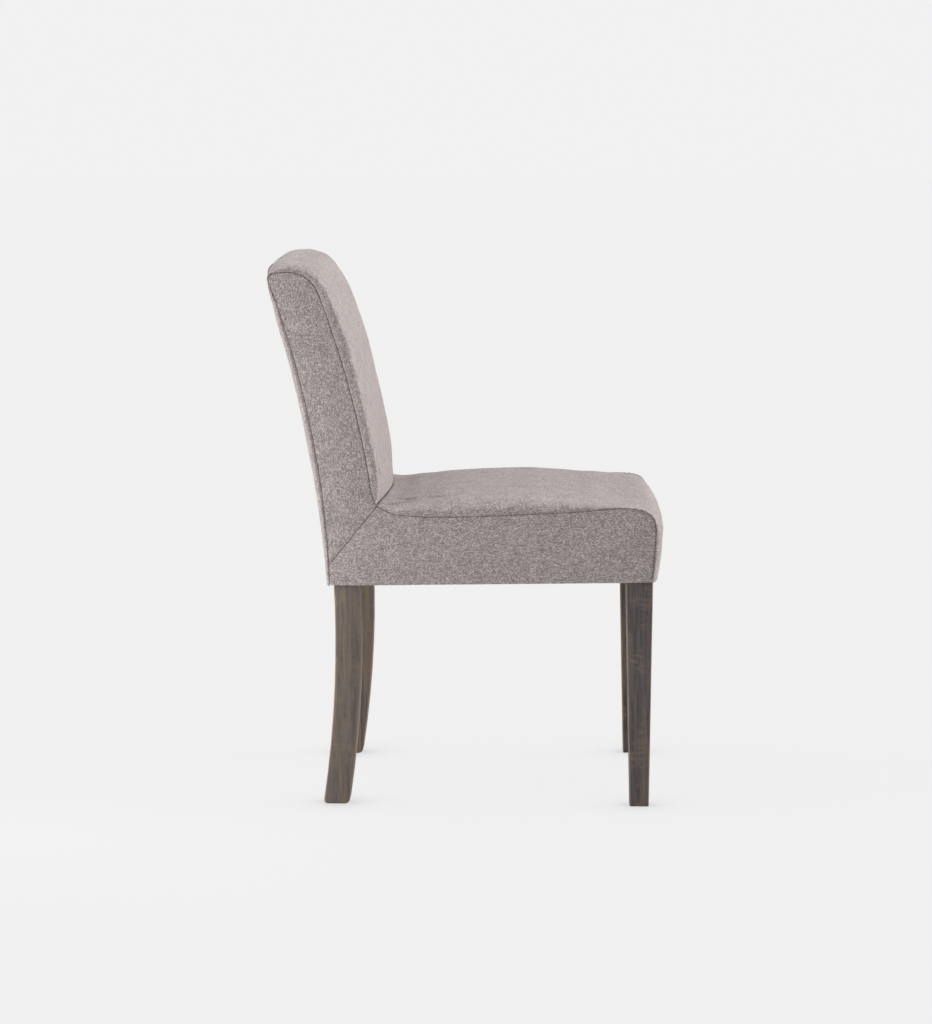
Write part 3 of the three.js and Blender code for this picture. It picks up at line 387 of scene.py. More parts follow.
# %% Lines through the rows
class WrapLine:
    """A smooth line through a wrap's rows, measured along its seam."""

    def __init__(self, rows, fullness=1.0):
        self.points = np.array(rows) * MM
        self.points[:, 2:] = self.points[:, :2] + (self.points[:, 2:] - self.points[:, :2]) * fullness
        steps = np.diff(self.points, axis=0)
        seam_step = np.linalg.norm(steps[:, :2], axis=1)
        crown_step = np.linalg.norm(steps[:, 2:], axis=1)
        self.at = np.concatenate([[0.0], np.cumsum((seam_step + crown_step) / 2)])
        self.slope = np.gradient(self.points, self.at, axis=0)
        self.length = float(self.at[-1])

    def place(self, distance):
        """Seam and crown at each distance, as rows of seam Y, seam Z, crown Y, crown Z."""
        i = np.clip(np.searchsorted(self.at, distance) - 1, 0, len(self.at) - 2)
        gap = self.at[i + 1] - self.at[i]
        t = ((distance - self.at[i]) / gap)[:, None]
        gap = gap[:, None]
        return (
            (2 * t**3 - 3 * t**2 + 1) * self.points[i] + (t**3 - 2 * t**2 + t) * gap * self.slope[i]
            + (3 * t**2 - 2 * t**3) * self.points[i + 1] + (t**3 - t**2) * gap * self.slope[i + 1]
        )

    def seam(self, count, start=0.0, end=1.0):
        """Evenly spaced seam points, as rows of Y, Z."""
        return self.place(np.linspace(start, end, count) * self.length)[:, :2]


outside_back_line = WrapLine(outside_back_rows, 0.96)
inside_back_line = WrapLine(inside_back_rows, 0.87)
seat_line = WrapLine(seat_rows, 1.05)

front_half_width = 0.230
plan_taper = 0.0283865
foremost_seam = -0.29213


def half_width(y):
    """Half the chair's width at a depth: the plan narrows toward the back."""
    return front_half_width - plan_taper * (y - foremost_seam)


print("cloth lengths:", [round(line.length, 3) for line in (outside_back_line, inside_back_line, seat_line)])

# %% [markdown]
# ## How sewn cloth moves at its seams
#
# A sewn seam pulls the cloth down into a narrow groove, and the slightly longer panel gathers into
# tiny puckers beside it. Further in, the cloth lies in slow, shallow waves over the foam. Nearly all of
# it is less than two millimetres deep, and only a few creases near the back reach four, but without it
# a seam looks painted on. The moves are worked out from each point's distance to the seam, so that
# panels on both sides of a seam sink together.

# %% Moves for sewn cloth
def waves(points, size, seed):
    """Slow noise from -1 to 1 at each point."""
    offset = Vector((seed * 7.1, seed * 3.3, seed * 5.7))
    return np.array([noise.noise(Vector(p) / size + offset) for p in points])


groove_width = 1.9 * MM
shoulder_depth, shoulder_width = 0.2 * MM, 7 * MM
pucker_pitch, pucker_start, pucker_reach, pucker_gain = 7.5 * MM, 1.2 * MM, 6 * MM, 1.6


def seam_pull(distance, travelled, seed, groove=0.7 * MM, puckers=0.3 * MM):
    """Depth below the padding's surface, by distance from the seam and by place along it.

    Two slow sines shift the puckers along the seam, and a third makes them stronger and weaker.
    """
    shoulder = shoulder_depth * np.exp(-(distance / shoulder_width) ** 2)
    sunk = groove * np.exp(-(distance / groove_width) ** 2) + shoulder
    shifted = travelled + 2.2 * MM * np.sin(travelled / 0.021 + seed)
    beat = shifted + 1.3 * MM * np.sin(travelled / 0.0083 + 2 * seed)
    strength = 0.55 + 0.45 * np.sin(travelled / 0.037 + 3 * seed)
    fade = np.exp(-distance / pucker_reach) * (1 - np.exp(-distance / pucker_start))
    return sunk + puckers * strength * np.sin(beat * 2 * math.pi / pucker_pitch) * fade * pucker_gain


def furrow(points, start, end, depth, width):
    """A soft crease along a straight way, as seen from above: deepest about a third along it."""
    deepest_at, fades_over = 0.35, 0.85
    start, end = np.array(start), np.array(end)
    way = end - start
    share = np.clip(((points[:, :2] - start) @ way) / (way @ way), -0.2, 1.2)
    away = np.linalg.norm(points[:, :2] - start - share[:, None] * way, axis=1)
    reach = np.clip(1 - np.abs(share - deepest_at) / fades_over, 0, 1)
    return depth * reach * np.exp(-(away / width) ** 2)


# %% [markdown]
# ## The three wraps
#
# A wrap begins as a flat grid of cloth. Its columns run across the chair, closer together near the
# seams where the cloth curves most, and its rows run along the seam line. Each point is laid on the
# padding: a rounded crown across the width, highest in the middle. Then the seams pull it in.

# %% Across a wrap
crown_roundness = 4.0
usual_half_width, usual_crown = 0.225, 0.025
section_angle = np.linspace(-math.pi / 2, math.pi / 2, 2001)
section_across = np.sign(section_angle) * np.abs(np.sin(section_angle)) ** (2 / crown_roundness)
section_crown = np.abs(np.cos(section_angle)) ** (2 / crown_roundness)
section_step = np.hypot(np.diff(section_across) * usual_half_width, np.diff(section_crown) * usual_crown)
section_travel = np.concatenate([[0.0], np.cumsum(section_step)]) / section_step.sum() * 2 - 1


def section_at(travel):
    """Place across the width and share of the crown, by travel from seam (-1) to seam (1)."""
    return np.interp(travel, section_travel, section_across), np.interp(travel, section_travel, section_crown)


def close_to_ends(places):
    """Moves evenly spaced places from -1 to 1 closer together near both ends."""
    return 0.22 * places + 0.78 * np.sin(places * math.pi / 2)


gutter_push, gutter_lift, gathered_lift = 13.5, 1.5, 5.5  # in millimetres


def gutter_at(across, crown):
    """How far ahead of its ends, and above them, the gutter's seam lies across the width.

    It is pulled straight toward its ends and pushed ahead in the middle. On the chair's right the
    cloth is gathered a little higher.
    """
    gathered = 0.5 - 0.5 * np.tanh(across / 0.35)
    ahead = -gutter_push * MM * (1 - across**2)
    return np.column_stack([ahead, (gutter_lift + gathered_lift * gathered) * MM * crown])


# %% Shape of a wrap
from_gutter = {"seat_wrap": 0, "inside_back_wrap": 1}
boxiness = {
    "seat_wrap": ((0, 0.70, 0.78, 1), (3.4, 3.4, 2.8, 2.8)),
    "inside_back_wrap": ((0, 0.12, 0.25, 0.93, 1), (3, 3, 8, 8, 3.4)),
}
end_grooves = {"seat_wrap": (0.7, 0), "inside_back_wrap": (0.3, 0.7), "outside_back_wrap": (0, 0.3)}
gutter_blend, near_gutter, near_seam = 0.06, 0.012, 0.02
lower_back_puff = 8 * MM


def gutter_distance(name, line, travelled):
    """How far along the cloth the gutter's seam is."""
    return np.abs(travelled - from_gutter[name] * line.length)


def wrap_shape(name, line, grid):
    """Where a wrap's flat grid lies on the padding, and how far along the seam each point is."""
    across, crown = section_at(close_to_ends(grid[:, 0]))
    travelled = (close_to_ends(grid[:, 1]) + 1) / 2 * line.length
    lines = line.place(travelled)
    if name in boxiness:
        boxy = np.interp(travelled / line.length, *boxiness[name])
        crown = (1 - np.minimum(np.abs(across), 1) ** boxy) ** (1 / boxy)
    yz = lines[:, :2] + (lines[:, 2:] - lines[:, :2]) * crown[:, None]
    if name in from_gutter:
        distance = gutter_distance(name, line, travelled)
        close = np.clip(1 - distance / gutter_blend, 0, 1)[:, None] ** 2
        pulled = lines[:, :2] + gutter_at(across, crown)
        if name == "inside_back_wrap":
            pulled[:, 0] -= lower_back_puff * (1 - np.exp(-distance / near_gutter)) * crown
        else:
            pulled[:, 1] += (line.points[0, 1] - lines[:, 1]) * crown
        yz += (pulled - yz) * close
    return np.column_stack([across * half_width(yz[:, 0]), yz]), travelled


def cloth_places(points, grid, columns, rows):
    """Each point's distance to the nearer side seam, and its place across from the middle."""
    order = np.lexsort((grid[:, 0], np.round(grid[:, 1], 6)))
    ordered = points[order].reshape(rows + 1, columns + 1, 3)
    step = np.linalg.norm(np.diff(ordered, axis=1), axis=2)
    from_left = np.concatenate([np.zeros((rows + 1, 1)), np.cumsum(step, axis=1)], axis=1)
    to_seam, cloth_u = np.empty(len(points)), np.empty(len(points))
    to_seam[order] = np.minimum(from_left, from_left[:, -1:] - from_left).ravel()
    cloth_u[order] = (from_left - from_left[:, columns // 2][:, None]).ravel()
    return to_seam, cloth_u


def wrap_depth(name, line, points, left_half, travelled, to_seam, cloth_u, seed, creases):
    """How far each point of a wrap sinks: at its seams, in its waves and in its creases."""
    depth = seam_pull(to_seam, travelled, seed + 2.0 * left_half)
    for end_distance, groove in zip((travelled, line.length - travelled), end_grooves[name]):
        if groove:
            depth = depth + seam_pull(end_distance, cloth_u, seed + 5, groove * MM, 0.15 * MM)
    calm = 1 - np.exp(-(to_seam / near_seam) ** 2)
    if name in from_gutter:
        calm = calm * (1 - np.exp(-(gutter_distance(name, line, travelled) / near_gutter) ** 2))
    depth = depth + 0.7 * MM * calm * waves(points, 0.075, seed)
    depth = depth + 0.35 * MM * calm * waves(points * (1, 0.3, 1), 0.013, seed + 1)
    for start, end, deep, wide in creases:
        depth = depth + furrow(points, start, end, deep, wide)
    return depth


# %% Hems and pieces
def turned_share(place):
    """How much of a wrap's hem is turned at a place: none at its side seams, where it hangs straight."""
    return min(1.0, max(0.0, (half_width(place.y) - abs(place.x)) / 0.012))


def reach_between(axis, low, high):
    """How far a hem's turned part lies inward: a full turn between the legs, a sliver at a leg."""
    return lambda place: 11 * MM if low < place[axis] < high else 0.5 * MM


def turn_hem(sheet, edges, inward, reach_of, share_of=lambda place: 1.0):
    """Rolls the cloth's lower edge under and lays its turned part flat, inward."""
    for inward_by, down_by in ((0.9 * MM, 0.8 * MM), (1.5 * MM, 0.2 * MM)):
        rolled = bmesh.ops.extrude_edge_only(sheet, edges=edges)["geom"]
        edges = [part for part in rolled if isinstance(part, bmesh.types.BMEdge)]
        for vert in {vert for edge in edges for vert in edge.verts}:
            vert.co += Vector(inward) * inward_by * share_of(vert.co) + Vector((0, 0, -down_by))
    flat = bmesh.ops.extrude_edge_only(sheet, edges=edges)["geom"]
    for vert in [part for part in flat if isinstance(part, bmesh.types.BMVert)]:
        share = share_of(vert.co)
        vert.co += Vector(inward) * reach_of(vert.co) * share + Vector((0, 0, 0.1 * MM * (2 * share - 1)))


def mesh_piece(name, shape, material, smooth=True):
    """Makes an object of a finished bmesh and gives it its material."""
    for face in shape.faces:
        face.smooth = smooth
    mesh = bpy.data.meshes.new(name)
    shape.to_mesh(mesh)
    shape.free()
    mesh.materials.append(material)
    return put_in_scene(name, mesh)


def finish_cover(piece, node_name, thickness=1.8 * MM):
    """Gives a piece of the cover its thickness, inward, and hides the node that it stands for."""
    solid = piece.modifiers.new("cloth_thickness", "SOLIDIFY")
    solid.thickness = thickness
    solid.offset = -1
    solid.use_even_offset = False
    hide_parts(node_name)
    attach(piece, "root")
    print(piece.name, len(piece.data.polygons), "faces")


# %% Lay a wrap
wrap_outward = {
    "seat_wrap": Vector((0, 0, 1)),
    "inside_back_wrap": Vector((0, -1, 0.2)),
    "outside_back_wrap": Vector((0, 1, -0.2)),
}
hems = {"seat_wrap": (1, (0, 1, 0)), "outside_back_wrap": (-1, (0, -1, 0))}


def lay_wrap(name, line, columns, rows, seed, creases=()):
    """A wrap of cloth between its two side seams."""
    sheet = bmesh.new()
    bmesh.ops.create_grid(sheet, x_segments=columns, y_segments=rows, size=1.0)
    sheet.verts.ensure_lookup_table()
    grid = np.array([vert.co[:2] for vert in sheet.verts])
    points, travelled = wrap_shape(name, line, grid)
    for vert, place in zip(sheet.verts, points):
        vert.co = place
    bmesh.ops.recalc_face_normals(sheet, faces=sheet.faces)
    if sum(face.normal.dot(wrap_outward[name]) for face in sheet.faces) < 0:
        bmesh.ops.reverse_faces(sheet, faces=sheet.faces)
    sheet.normal_update()

    to_seam, cloth_u = cloth_places(points, grid, columns, rows)
    depth = wrap_depth(name, line, points, grid[:, 0] > 0, travelled, to_seam, cloth_u, seed, creases)
    for vert, sink in zip(sheet.verts, depth):
        vert.co -= vert.normal * float(sink)
    cloth = sheet.loops.layers.uv.new("cloth")
    for face in sheet.faces:
        for corner in face.loops:
            i = corner.vert.index
            corner[cloth].uv = (travelled[i], cloth_u[i] + seed)
    if name in hems:
        end, inward = hems[name]
        at_hem = {i for i in range(len(grid)) if abs(grid[i, 1] - end) < 1e-5}
        lower = [edge for edge in sheet.edges if all(vert.index in at_hem for vert in edge.verts)]
        turn_hem(sheet, lower, inward, reach_between(0, -0.165, 0.165), turned_share)
    return mesh_piece(name, sheet, wrap_cloth)


# each crease: where it starts and ends as X and Y, its depth (below zero for a ridge) and its width
seat_creases = [
    ((-0.198, 0.131), (-0.1855, 0.097), 3.8 * MM, 0.005),
    ((-0.159, 0.098), (-0.173, 0.067), 4.0 * MM, 0.005),
    ((-0.159, 0.057), (-0.1745, 0.0225), 3.4 * MM, 0.005),
    ((-0.172, 0.100), (-0.176, 0.020), -1.2 * MM, 0.010),
    ((-0.110, 0.112), (-0.095, 0.020), 1.3 * MM, 0.005),
    ((-0.060, 0.060), (-0.050, -0.030), 0.8 * MM, 0.006),
    ((0.100, 0.110), (0.085, 0.030), 1.2 * MM, 0.006),
    ((0.185, 0.112), (0.130, 0.020), 1.2 * MM, 0.007),
]
seat_wrap = lay_wrap("seat_wrap", seat_line, 200, 170, 1.0, seat_creases)
inside_back_wrap = lay_wrap("inside_back_wrap", inside_back_line, 150, 130, 2.0)
outside_back_wrap = lay_wrap("outside_back_wrap", outside_back_line, 150, 130, 3.0)
finish_cover(seat_wrap, "seat_cover")
finish_cover(inside_back_wrap, "inside_back_cover")
finish_cover(outside_back_wrap, "outside_back_cover")

# %% [markdown]
# ## The side panels
#
# A flat panel closes each side of the back and of the seat, and a diagonal mitre seam joins the two.
# An outline is filled as one face, inset a few times so that loops of edges run beside the seam, and
# cut into a fine mesh by planes. Then it puffs a little between its seams and sinks at them.

# %% Outlines of the side panels
outside_lower = outside_back_line.seam(9, 0, 0.0617)
outside_upper = outside_back_line.seam(110, 0.0617, 1)
inside_all = inside_back_line.seam(120)
seat_all = seat_line.seam(150)
outside_lower[-1] = outside_upper[0] = mitre_foot
gutter_corner = seat_all[0]


def straight(start, end, count):
    """Points on the way from start to end, without either end."""
    return np.linspace(start, end, count + 2)[1:-1]


mitre_down = straight(gutter_corner, mitre_foot, 24)
hem_back = straight(seat_all[-1], outside_lower[0], 100)
sharp_corners = np.array([mitre_foot, gutter_corner, seat_all[-1], outside_lower[0]])


def clear_of_corners(points, reach=13 * MM):
    """Leaves out the points that crowd a sharp corner, so that insets don't fold there."""
    away = np.linalg.norm(points[:, None] - sharp_corners[None], axis=2).min(axis=1)
    return points[(away > reach) | (away < 0.1 * MM)]


back_outline = clear_of_corners(np.vstack([outside_upper, inside_all[1:], mitre_down]))
seat_outline = clear_of_corners(np.vstack([
    seat_all, hem_back, outside_lower[:-1], [mitre_foot], mitre_down[::-1],
]))
hem_start = int(np.argmin(np.linalg.norm(seat_outline - seat_all[-1], axis=1)))
hem_end = int(np.argmin(np.linalg.norm(seat_outline - outside_lower[0], axis=1)))
print("outline points:", len(back_outline), len(seat_outline), "hem from", hem_start, "to", hem_end)


def nearest_on_outline(points, outline, skip=None):
    """Distance from each point to a closed outline, and how far round the outline that is."""
    ends = np.roll(outline, -1, axis=0)
    lengths = np.linalg.norm(ends - outline, axis=1)
    starts = np.concatenate([[0.0], np.cumsum(lengths)[:-1]])
    best, where = np.full(len(points), 1e9), np.zeros(len(points))
    for i in range(len(outline)):
        if skip and skip[0] <= i < skip[1]:
            continue
        way = ends[i] - outline[i]
        t = np.clip((points - outline[i]) @ way / max(way @ way, 1e-12), 0, 1)
        away = np.linalg.norm(points - outline[i] - t[:, None] * way, axis=1)
        closer = away < best
        best[closer] = away[closer]
        where[closer] = starts[i] + t[closer] * lengths[i]
    return best, where


# %% Lay a side panel
panel_cell = 0.0055
still_whole = 2e-5  # a face with more area than this, in square metres, is still to be cut
puff_reach, wave_reach, panel_wave = 0.024, 0.015, 0.06


def cut_by_plane(shape, parts, axis, place, merge):
    """Cuts parts of a bmesh by a plane that stands across an axis."""
    centre, normal = Vector(), Vector()
    centre[axis], normal[axis] = place, 1
    bmesh.ops.bisect_plane(shape, geom=parts, plane_co=centre, plane_no=normal, dist=merge)


def lay_side_panel(name, outline, side, grain, seed, hem=None, puff=2.0 * MM):
    """A side panel at the right (-1) or left (1); grain is the way its weft runs, as Y and Z."""
    sheet = bmesh.new()
    corners = [sheet.verts.new((0, y, z)) for y, z in outline]
    whole = sheet.faces.new(corners)
    for inset in (1.0 * MM, 1.2 * MM, 1.6 * MM):
        bmesh.ops.inset_region(
            sheet, faces=[whole], thickness=inset, use_even_offset=True, use_boundary=True,
        )
    low, high = outline.min(axis=0), outline.max(axis=0)
    for axis in (0, 1):
        for cut in np.arange(low[axis] + panel_cell, high[axis], panel_cell):
            faces = [face for face in sheet.faces if face.calc_area() > still_whole]
            edges = {edge for face in faces for edge in face.edges}
            verts = {vert for face in faces for vert in face.verts}
            cut_by_plane(sheet, [*verts, *edges, *faces], axis + 1, cut, 1e-5)
    bmesh.ops.remove_doubles(sheet, verts=sheet.verts, dist=0.25 * MM)
    bmesh.ops.recalc_face_normals(sheet, faces=sheet.faces)
    sheet.faces.ensure_lookup_table()
    if sheet.faces[0].normal.x * side < 0:
        bmesh.ops.reverse_faces(sheet, faces=sheet.faces)

    flat = np.array([vert.co[1:] for vert in sheet.verts])
    distance, travelled = nearest_on_outline(flat, outline, hem)
    depth = seam_pull(distance, travelled, seed)
    slow = waves(np.column_stack([np.full(len(flat), side * 0.2), flat]), panel_wave, seed)
    wavy = 0.6 * MM * (1 - np.exp(-(distance / wave_reach) ** 2)) * slow
    height = puff * (1 - np.exp(-(distance / puff_reach) ** 2)) + wavy
    x = side * (half_width(flat[:, 0]) + height - depth)
    grain = np.array(grain) / np.linalg.norm(grain)
    cloth_u, cloth_v = flat @ grain, flat @ np.array([-grain[1], grain[0]])
    sheet.verts.index_update()
    cloth = sheet.loops.layers.uv.new("cloth")
    for face in sheet.faces:
        for corner in face.loops:
            i = corner.vert.index
            corner[cloth].uv = (cloth_u[i] + seed, cloth_v[i] + seed / 2)
    for vert, place in zip(sheet.verts, x):
        vert.co.x = place
    if hem:
        hem_line = np.array([outline[hem[0]], outline[hem[1]]])
        level = np.interp(flat[:, 0], hem_line[:, 0], hem_line[:, 1])
        at_hem = set(np.flatnonzero(np.abs(flat[:, 1] - level) < 0.05 * MM))
        lower = [
            edge for edge in sheet.edges
            if edge.is_boundary and all(vert.index in at_hem for vert in edge.verts)
        ]
        turn_hem(sheet, lower, (-side, 0, 0), reach_between(1, -0.24, 0.15))
    return mesh_piece(name, sheet, panel_cloth)


back_grain, seat_grain = (0.23, 0.97), (1, -0.015)
for side, word in ((1, "left"), (-1, "right")):
    back_panel = lay_side_panel(f"back_side_panel_{word}", back_outline, side, back_grain, 4.0 + side)
    seat_panel = lay_side_panel(
        f"seat_side_panel_{word}", seat_outline, side, seat_grain, 7.0 + side, (hem_start, hem_end))
    finish_cover(back_panel, "back_side_cover_" + word)
    finish_cover(seat_panel, "seat_side_cover_" + word)

# %% [markdown]
# ## Seam thread
#
# The seams read as a dark line with fine teeth: a dark thread in the groove, and stitches that bite
# over it. The thread's dark colour is partly painted shade: it darkens the groove more than its own
# shade would, and along the gutter a thick dark cord stands in for the shadow in the gap between seat
# and back. A curve with a round section lies along each seam for the thread, and small beads, each a
# few dozen faces, are set along it for the stitches.

# %% Thread material
thread_and_groove_shade_material, thread_tree, thread_shader = start_material(
    "dark_seam_thread_and_painted_shade", Roughness=0.7, Specular_IOR_Level=0.3,
)
thread_place = add_node(thread_tree, "ShaderNodeTexCoord")
thread_noise = noise_in(thread_tree, thread_place.outputs["Object"], Scale=900.0, Detail=2.0)
# These dark browns are partly the thread's own colour and partly painted shade of the seam groove.
thread_tree.links.new(
    blended(thread_tree, thread_noise.outputs["Fac"], colour(36, 30, 28), colour(72, 63, 60)),
    thread_shader.inputs["Base Color"],
)
add_relief(thread_tree, thread_shader, thread_noise.outputs["Fac"], 0.5, 0.0002)


# %% Thread and stitches
stitch_size = (1.3 * MM, 0.36 * MM, 0.36 * MM)
stitch_slant = 0.55
thread_inset = 1.2 * MM
side_sunk = 1.1 * MM


def sew(name, path, thickness=0.34 * MM, pitch=3.0 * MM, lift=None):
    """A thread along a path, with a stitch over it at each pitch."""
    curve = bpy.data.curves.new(name, "CURVE")
    curve.dimensions = "3D"
    curve.bevel_depth = thickness
    curve.bevel_resolution = 2
    spline = curve.splines.new("POLY")
    spline.points.add(len(path) - 1)
    for point, place in zip(spline.points, path):
        point.co = (*place, 1)
    piece = put_in_scene(name, curve)
    piece.data.materials.append(thread_and_groove_shade_material)

    steps = np.linalg.norm(np.diff(path, axis=0), axis=1)
    at = np.concatenate([[0.0], np.cumsum(steps)])
    beads = bmesh.new()
    for distance in np.arange(pitch, at[-1] - pitch, pitch):
        here = Vector([np.interp(distance, at, path[:, k]) for k in range(3)])
        ahead = Vector([np.interp(distance + 0.5 * MM, at, path[:, k]) for k in range(3)])
        way = (ahead - here).normalized()
        out = Vector((1 if here.x > 0 else -1, 0, 0)) if lift is None else Vector(lift)
        beside = way.cross(out).normalized()
        slant = (way + beside * stitch_slant).normalized()
        third = slant.cross(out).normalized()
        turn = Matrix((slant, third, out)).transposed().to_4x4()
        size = Matrix.Diagonal((*stitch_size, 1))
        bmesh.ops.create_uvsphere(
            beads, u_segments=7, v_segments=5, radius=1.0,
            matrix=Matrix.Translation(here + out * (thickness * 0.8)) @ turn @ size,
        )
    stitches = mesh_piece(name + "_stitches", beads, thread_and_groove_shade_material)
    for made in (piece, stitches):
        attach(made, "root")
    return len(stitches.data.polygons)


def side_path(yz, side):
    """A side seam's line in space, a little below the surface of the side."""
    return np.column_stack([side * (half_width(yz[:, 0]) - side_sunk), yz])


def cross_path(across, yz):
    """The line in space of a seam that runs across the chair."""
    return np.column_stack([across * (half_width(yz[:, 0]) - thread_inset), yz])


# %% Sew the seams
across, crown = section_at(close_to_ends(np.linspace(-1, 1, 120)))
# The gutter gets a thick dark cord: partly its seam, mostly painted shade of the gap between seat and back.
gutter_path = cross_path(across, gutter_corner + gutter_at(across, crown) + np.array([0.9, -1.1]) * MM)
gutter_faces = sew("gutter_seam", gutter_path, 1.2 * MM, lift=(0, -0.63, 0.77))
across, crown = section_at(close_to_ends(np.linspace(-1, 1, 90)))
top_row = np.array(inside_back_rows[0])
top_seam, top_swell = top_row[:2] * MM, (top_row[2:] - top_row[:2]) * MM
top_yz = top_seam + top_swell * crown[:, None] + np.array((-0.35 * MM, -0.8 * MM))
top_faces = sew("top_seam", cross_path(across, top_yz), lift=(0, 0.5, 0.86))
print("stitch faces across:", gutter_faces, top_faces)
outside_all = np.vstack([outside_lower[1:], outside_upper[1:]])
mitre_all = np.vstack([[gutter_corner], mitre_down, [mitre_foot]])
for side, word in ((1, "left"), (-1, "right")):
    made = [
        sew(f"seat_seam_{word}", side_path(seat_all[:-1], side)),
        sew(f"inside_back_seam_{word}", side_path(inside_all, side)),
        sew(f"outside_back_seam_{word}", side_path(outside_all, side)),
        sew(f"mitre_seam_{word}", side_path(mitre_all, side)),
    ]
    print("stitch faces on the", word, sum(made))

# %% [markdown]
# ## Legs
#
# The legs are boards of dark stained wood with eased edges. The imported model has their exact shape
# with flat chamfers, mortises and glide recesses, so a copy of it is merged, cleaned of flat seams and
# softened with a small bevel instead of being built anew.

# %% Wood group
grain, grain_in, grain_out = start_group(
    "wood_grain",
    [("Place", "vector", None), ("Streak Width", "value", 0.003), ("Streak Length", "value", 0.11)],
    [("Streak", "value"), ("Pore", "value"), ("Tone", "value"), ("Figure", "value")],
)
grain_split = add_node(grain, "ShaderNodeSeparateXYZ", {0: grain_in.outputs["Place"]})


def grain_noise(width, length, seed, detail):
    """Noise stretched along the board's length."""
    vector = add_node(grain, "ShaderNodeCombineXYZ", {
        0: calculate(grain, "ADD", calculate(grain, "DIVIDE", grain_split.outputs[0], width), seed),
        1: calculate(grain, "DIVIDE", grain_split.outputs[1], width),
        2: calculate(grain, "DIVIDE", grain_split.outputs[2], length),
    })
    noise_node = noise_in(grain, vector.outputs[0], Scale=1.0, Detail=detail, Roughness=0.6, Distortion=0.4)
    return noise_node.outputs["Fac"]


streak = grain_noise(grain_in.outputs["Streak Width"], grain_in.outputs["Streak Length"], 0.0, 5.0)
pore = grain_noise(0.0007, 0.012, 9.0, 2.0)
tone = grain_noise(0.012, 0.22, 17.0, 2.0)
figure = calculate(
    grain, "MULTIPLY",
    between(grain, grain_noise(0.022, 0.0055, 29.0, 3.0), 0.42, 0.64),
    between(grain, grain_noise(0.03, 0.05, 43.0, 1.0), 0.4, 0.6),
)
for label, output in (("Streak", streak), ("Pore", pore), ("Tone", tone), ("Figure", figure)):
    grain.links.new(output, grain_out.inputs[label])


def wood_material(name, dark, middle, light, roughness, coat, figure_share, worn=0.0, streaks=(0.003, 0.11)):
    """Wood with streaks, pores, a figure across the grain and, where it is worn, paler edges."""
    material, tree, shader = start_material(name, Specular_IOR_Level=0.35, Coat_Roughness=0.35)
    place = add_node(tree, "ShaderNodeTexCoord")
    board = add_node(tree, "ShaderNodeGroup", node_tree=grain)
    tree.links.new(place.outputs["Object"], board.inputs["Place"])
    board.inputs["Streak Width"].default_value, board.inputs["Streak Length"].default_value = streaks
    body = blended(tree, between(tree, board.outputs["Streak"], 0.36, 0.64), dark, middle)
    warm = blended(tree, between(tree, board.outputs["Tone"], 0.42, 0.7, 0, 0.8), body, light)
    figured = blended(tree, calculate(tree, "MULTIPLY", board.outputs["Figure"], figure_share), warm, light)
    finish = blended(tree, between(tree, board.outputs["Pore"], 0.45, 0.3, 0, 0.55), figured, dark)
    if worn:
        turn = add_node(tree, "ShaderNodeSeparateXYZ", {0: place.outputs["Normal"]})
        turned = [calculate(tree, "ABSOLUTE", turn.outputs[k]) for k in (0, 1)]
        at_edge = between(tree, calculate(tree, "MINIMUM", *turned), 0.1, 0.5)
        uneven = between(tree, board.outputs["Streak"], 0.3, 0.6, 0.35, 1)
        rub = calculate(tree, "MULTIPLY", at_edge, uneven)
        finish = blended(tree, calculate(tree, "MULTIPLY", rub, worn), finish, colour(150, 124, 98))
    tree.links.new(finish, shader.inputs["Base Color"])
    rough = between(tree, board.outputs["Pore"], 0.3, 0.6, roughness + 0.12, roughness)
    tree.links.new(rough, shader.inputs["Roughness"])
    shader.inputs["Coat Weight"].default_value = coat
    add_relief(tree, shader, board.outputs["Pore"], 0.25, 0.0003)
    return material


# The rear legs' copy of the stain is set lighter than the front legs': painted light for the light that falls
# on the rear legs. The streaks and the front legs' figure are the wood's own.
stained_woods = {
    "front": wood_material(
        "dark_stained_wood_figured", colour(74, 67, 68), colour(96, 88, 88), colour(116, 101, 88),
        roughness=0.5, coat=0.1, figure_share=0.9, worn=0.8, streaks=(0.004, 0.07),
    ),
    "rear": wood_material(
        "dark_stained_wood_streaked_painted_lighter", colour(88, 80, 78), colour(112, 102, 95), colour(134, 113, 88),
        roughness=0.5, coat=0.1, figure_share=0.3, worn=0.8, streaks=(0.0035, 0.05),
    ),
}
pale_wood = wood_material(
    "bare_frame_wood", colour(176, 138, 96), colour(206, 172, 128), colour(222, 192, 150),
    roughness=0.72, coat=0.0, figure_share=0.3, streaks=(0.006, 0.3),
)
print("wood:", [wood.name for wood in stained_woods.values()], pale_wood.name)


# %% Soften the legs
hem_line = 0.36  # above this height a leg is under the cover, and its edges stay as they are
soft_angle, smooth_angle = 25, 32


def merged_copy(node_name):
    """A node's shape as a bmesh, with its doubles merged and its flat seams dissolved."""
    shape = bmesh.new()
    shape.from_mesh(frame["nodes"][node_name].data)
    bmesh.ops.remove_doubles(shape, verts=shape.verts, dist=0.01 * MM)
    bmesh.ops.dissolve_limit(shape, angle_limit=math.radians(0.3), verts=shape.verts, edges=shape.edges)
    return shape


def softened_copy(node_name, name, material, width):
    """A copy of a rigid node with its visible edges rounded."""
    shape = merged_copy(node_name)
    sharp = [
        edge for edge in shape.edges
        if len(edge.link_faces) == 2 and edge.calc_face_angle(0) > math.radians(soft_angle)
        and all(vert.co.z < hem_line for vert in edge.verts)
    ]
    bmesh.ops.bevel(
        shape, geom=sharp, offset=width, offset_type="OFFSET", affect="EDGES", segments=2,
        profile=0.5, material=-1, clamp_overlap=True,
    )
    for edge in shape.edges:
        edge.smooth = edge.calc_face_angle(0) < math.radians(smooth_angle)
    piece = mesh_piece(name, shape, material)
    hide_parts(node_name)
    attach(piece, "root")
    return piece


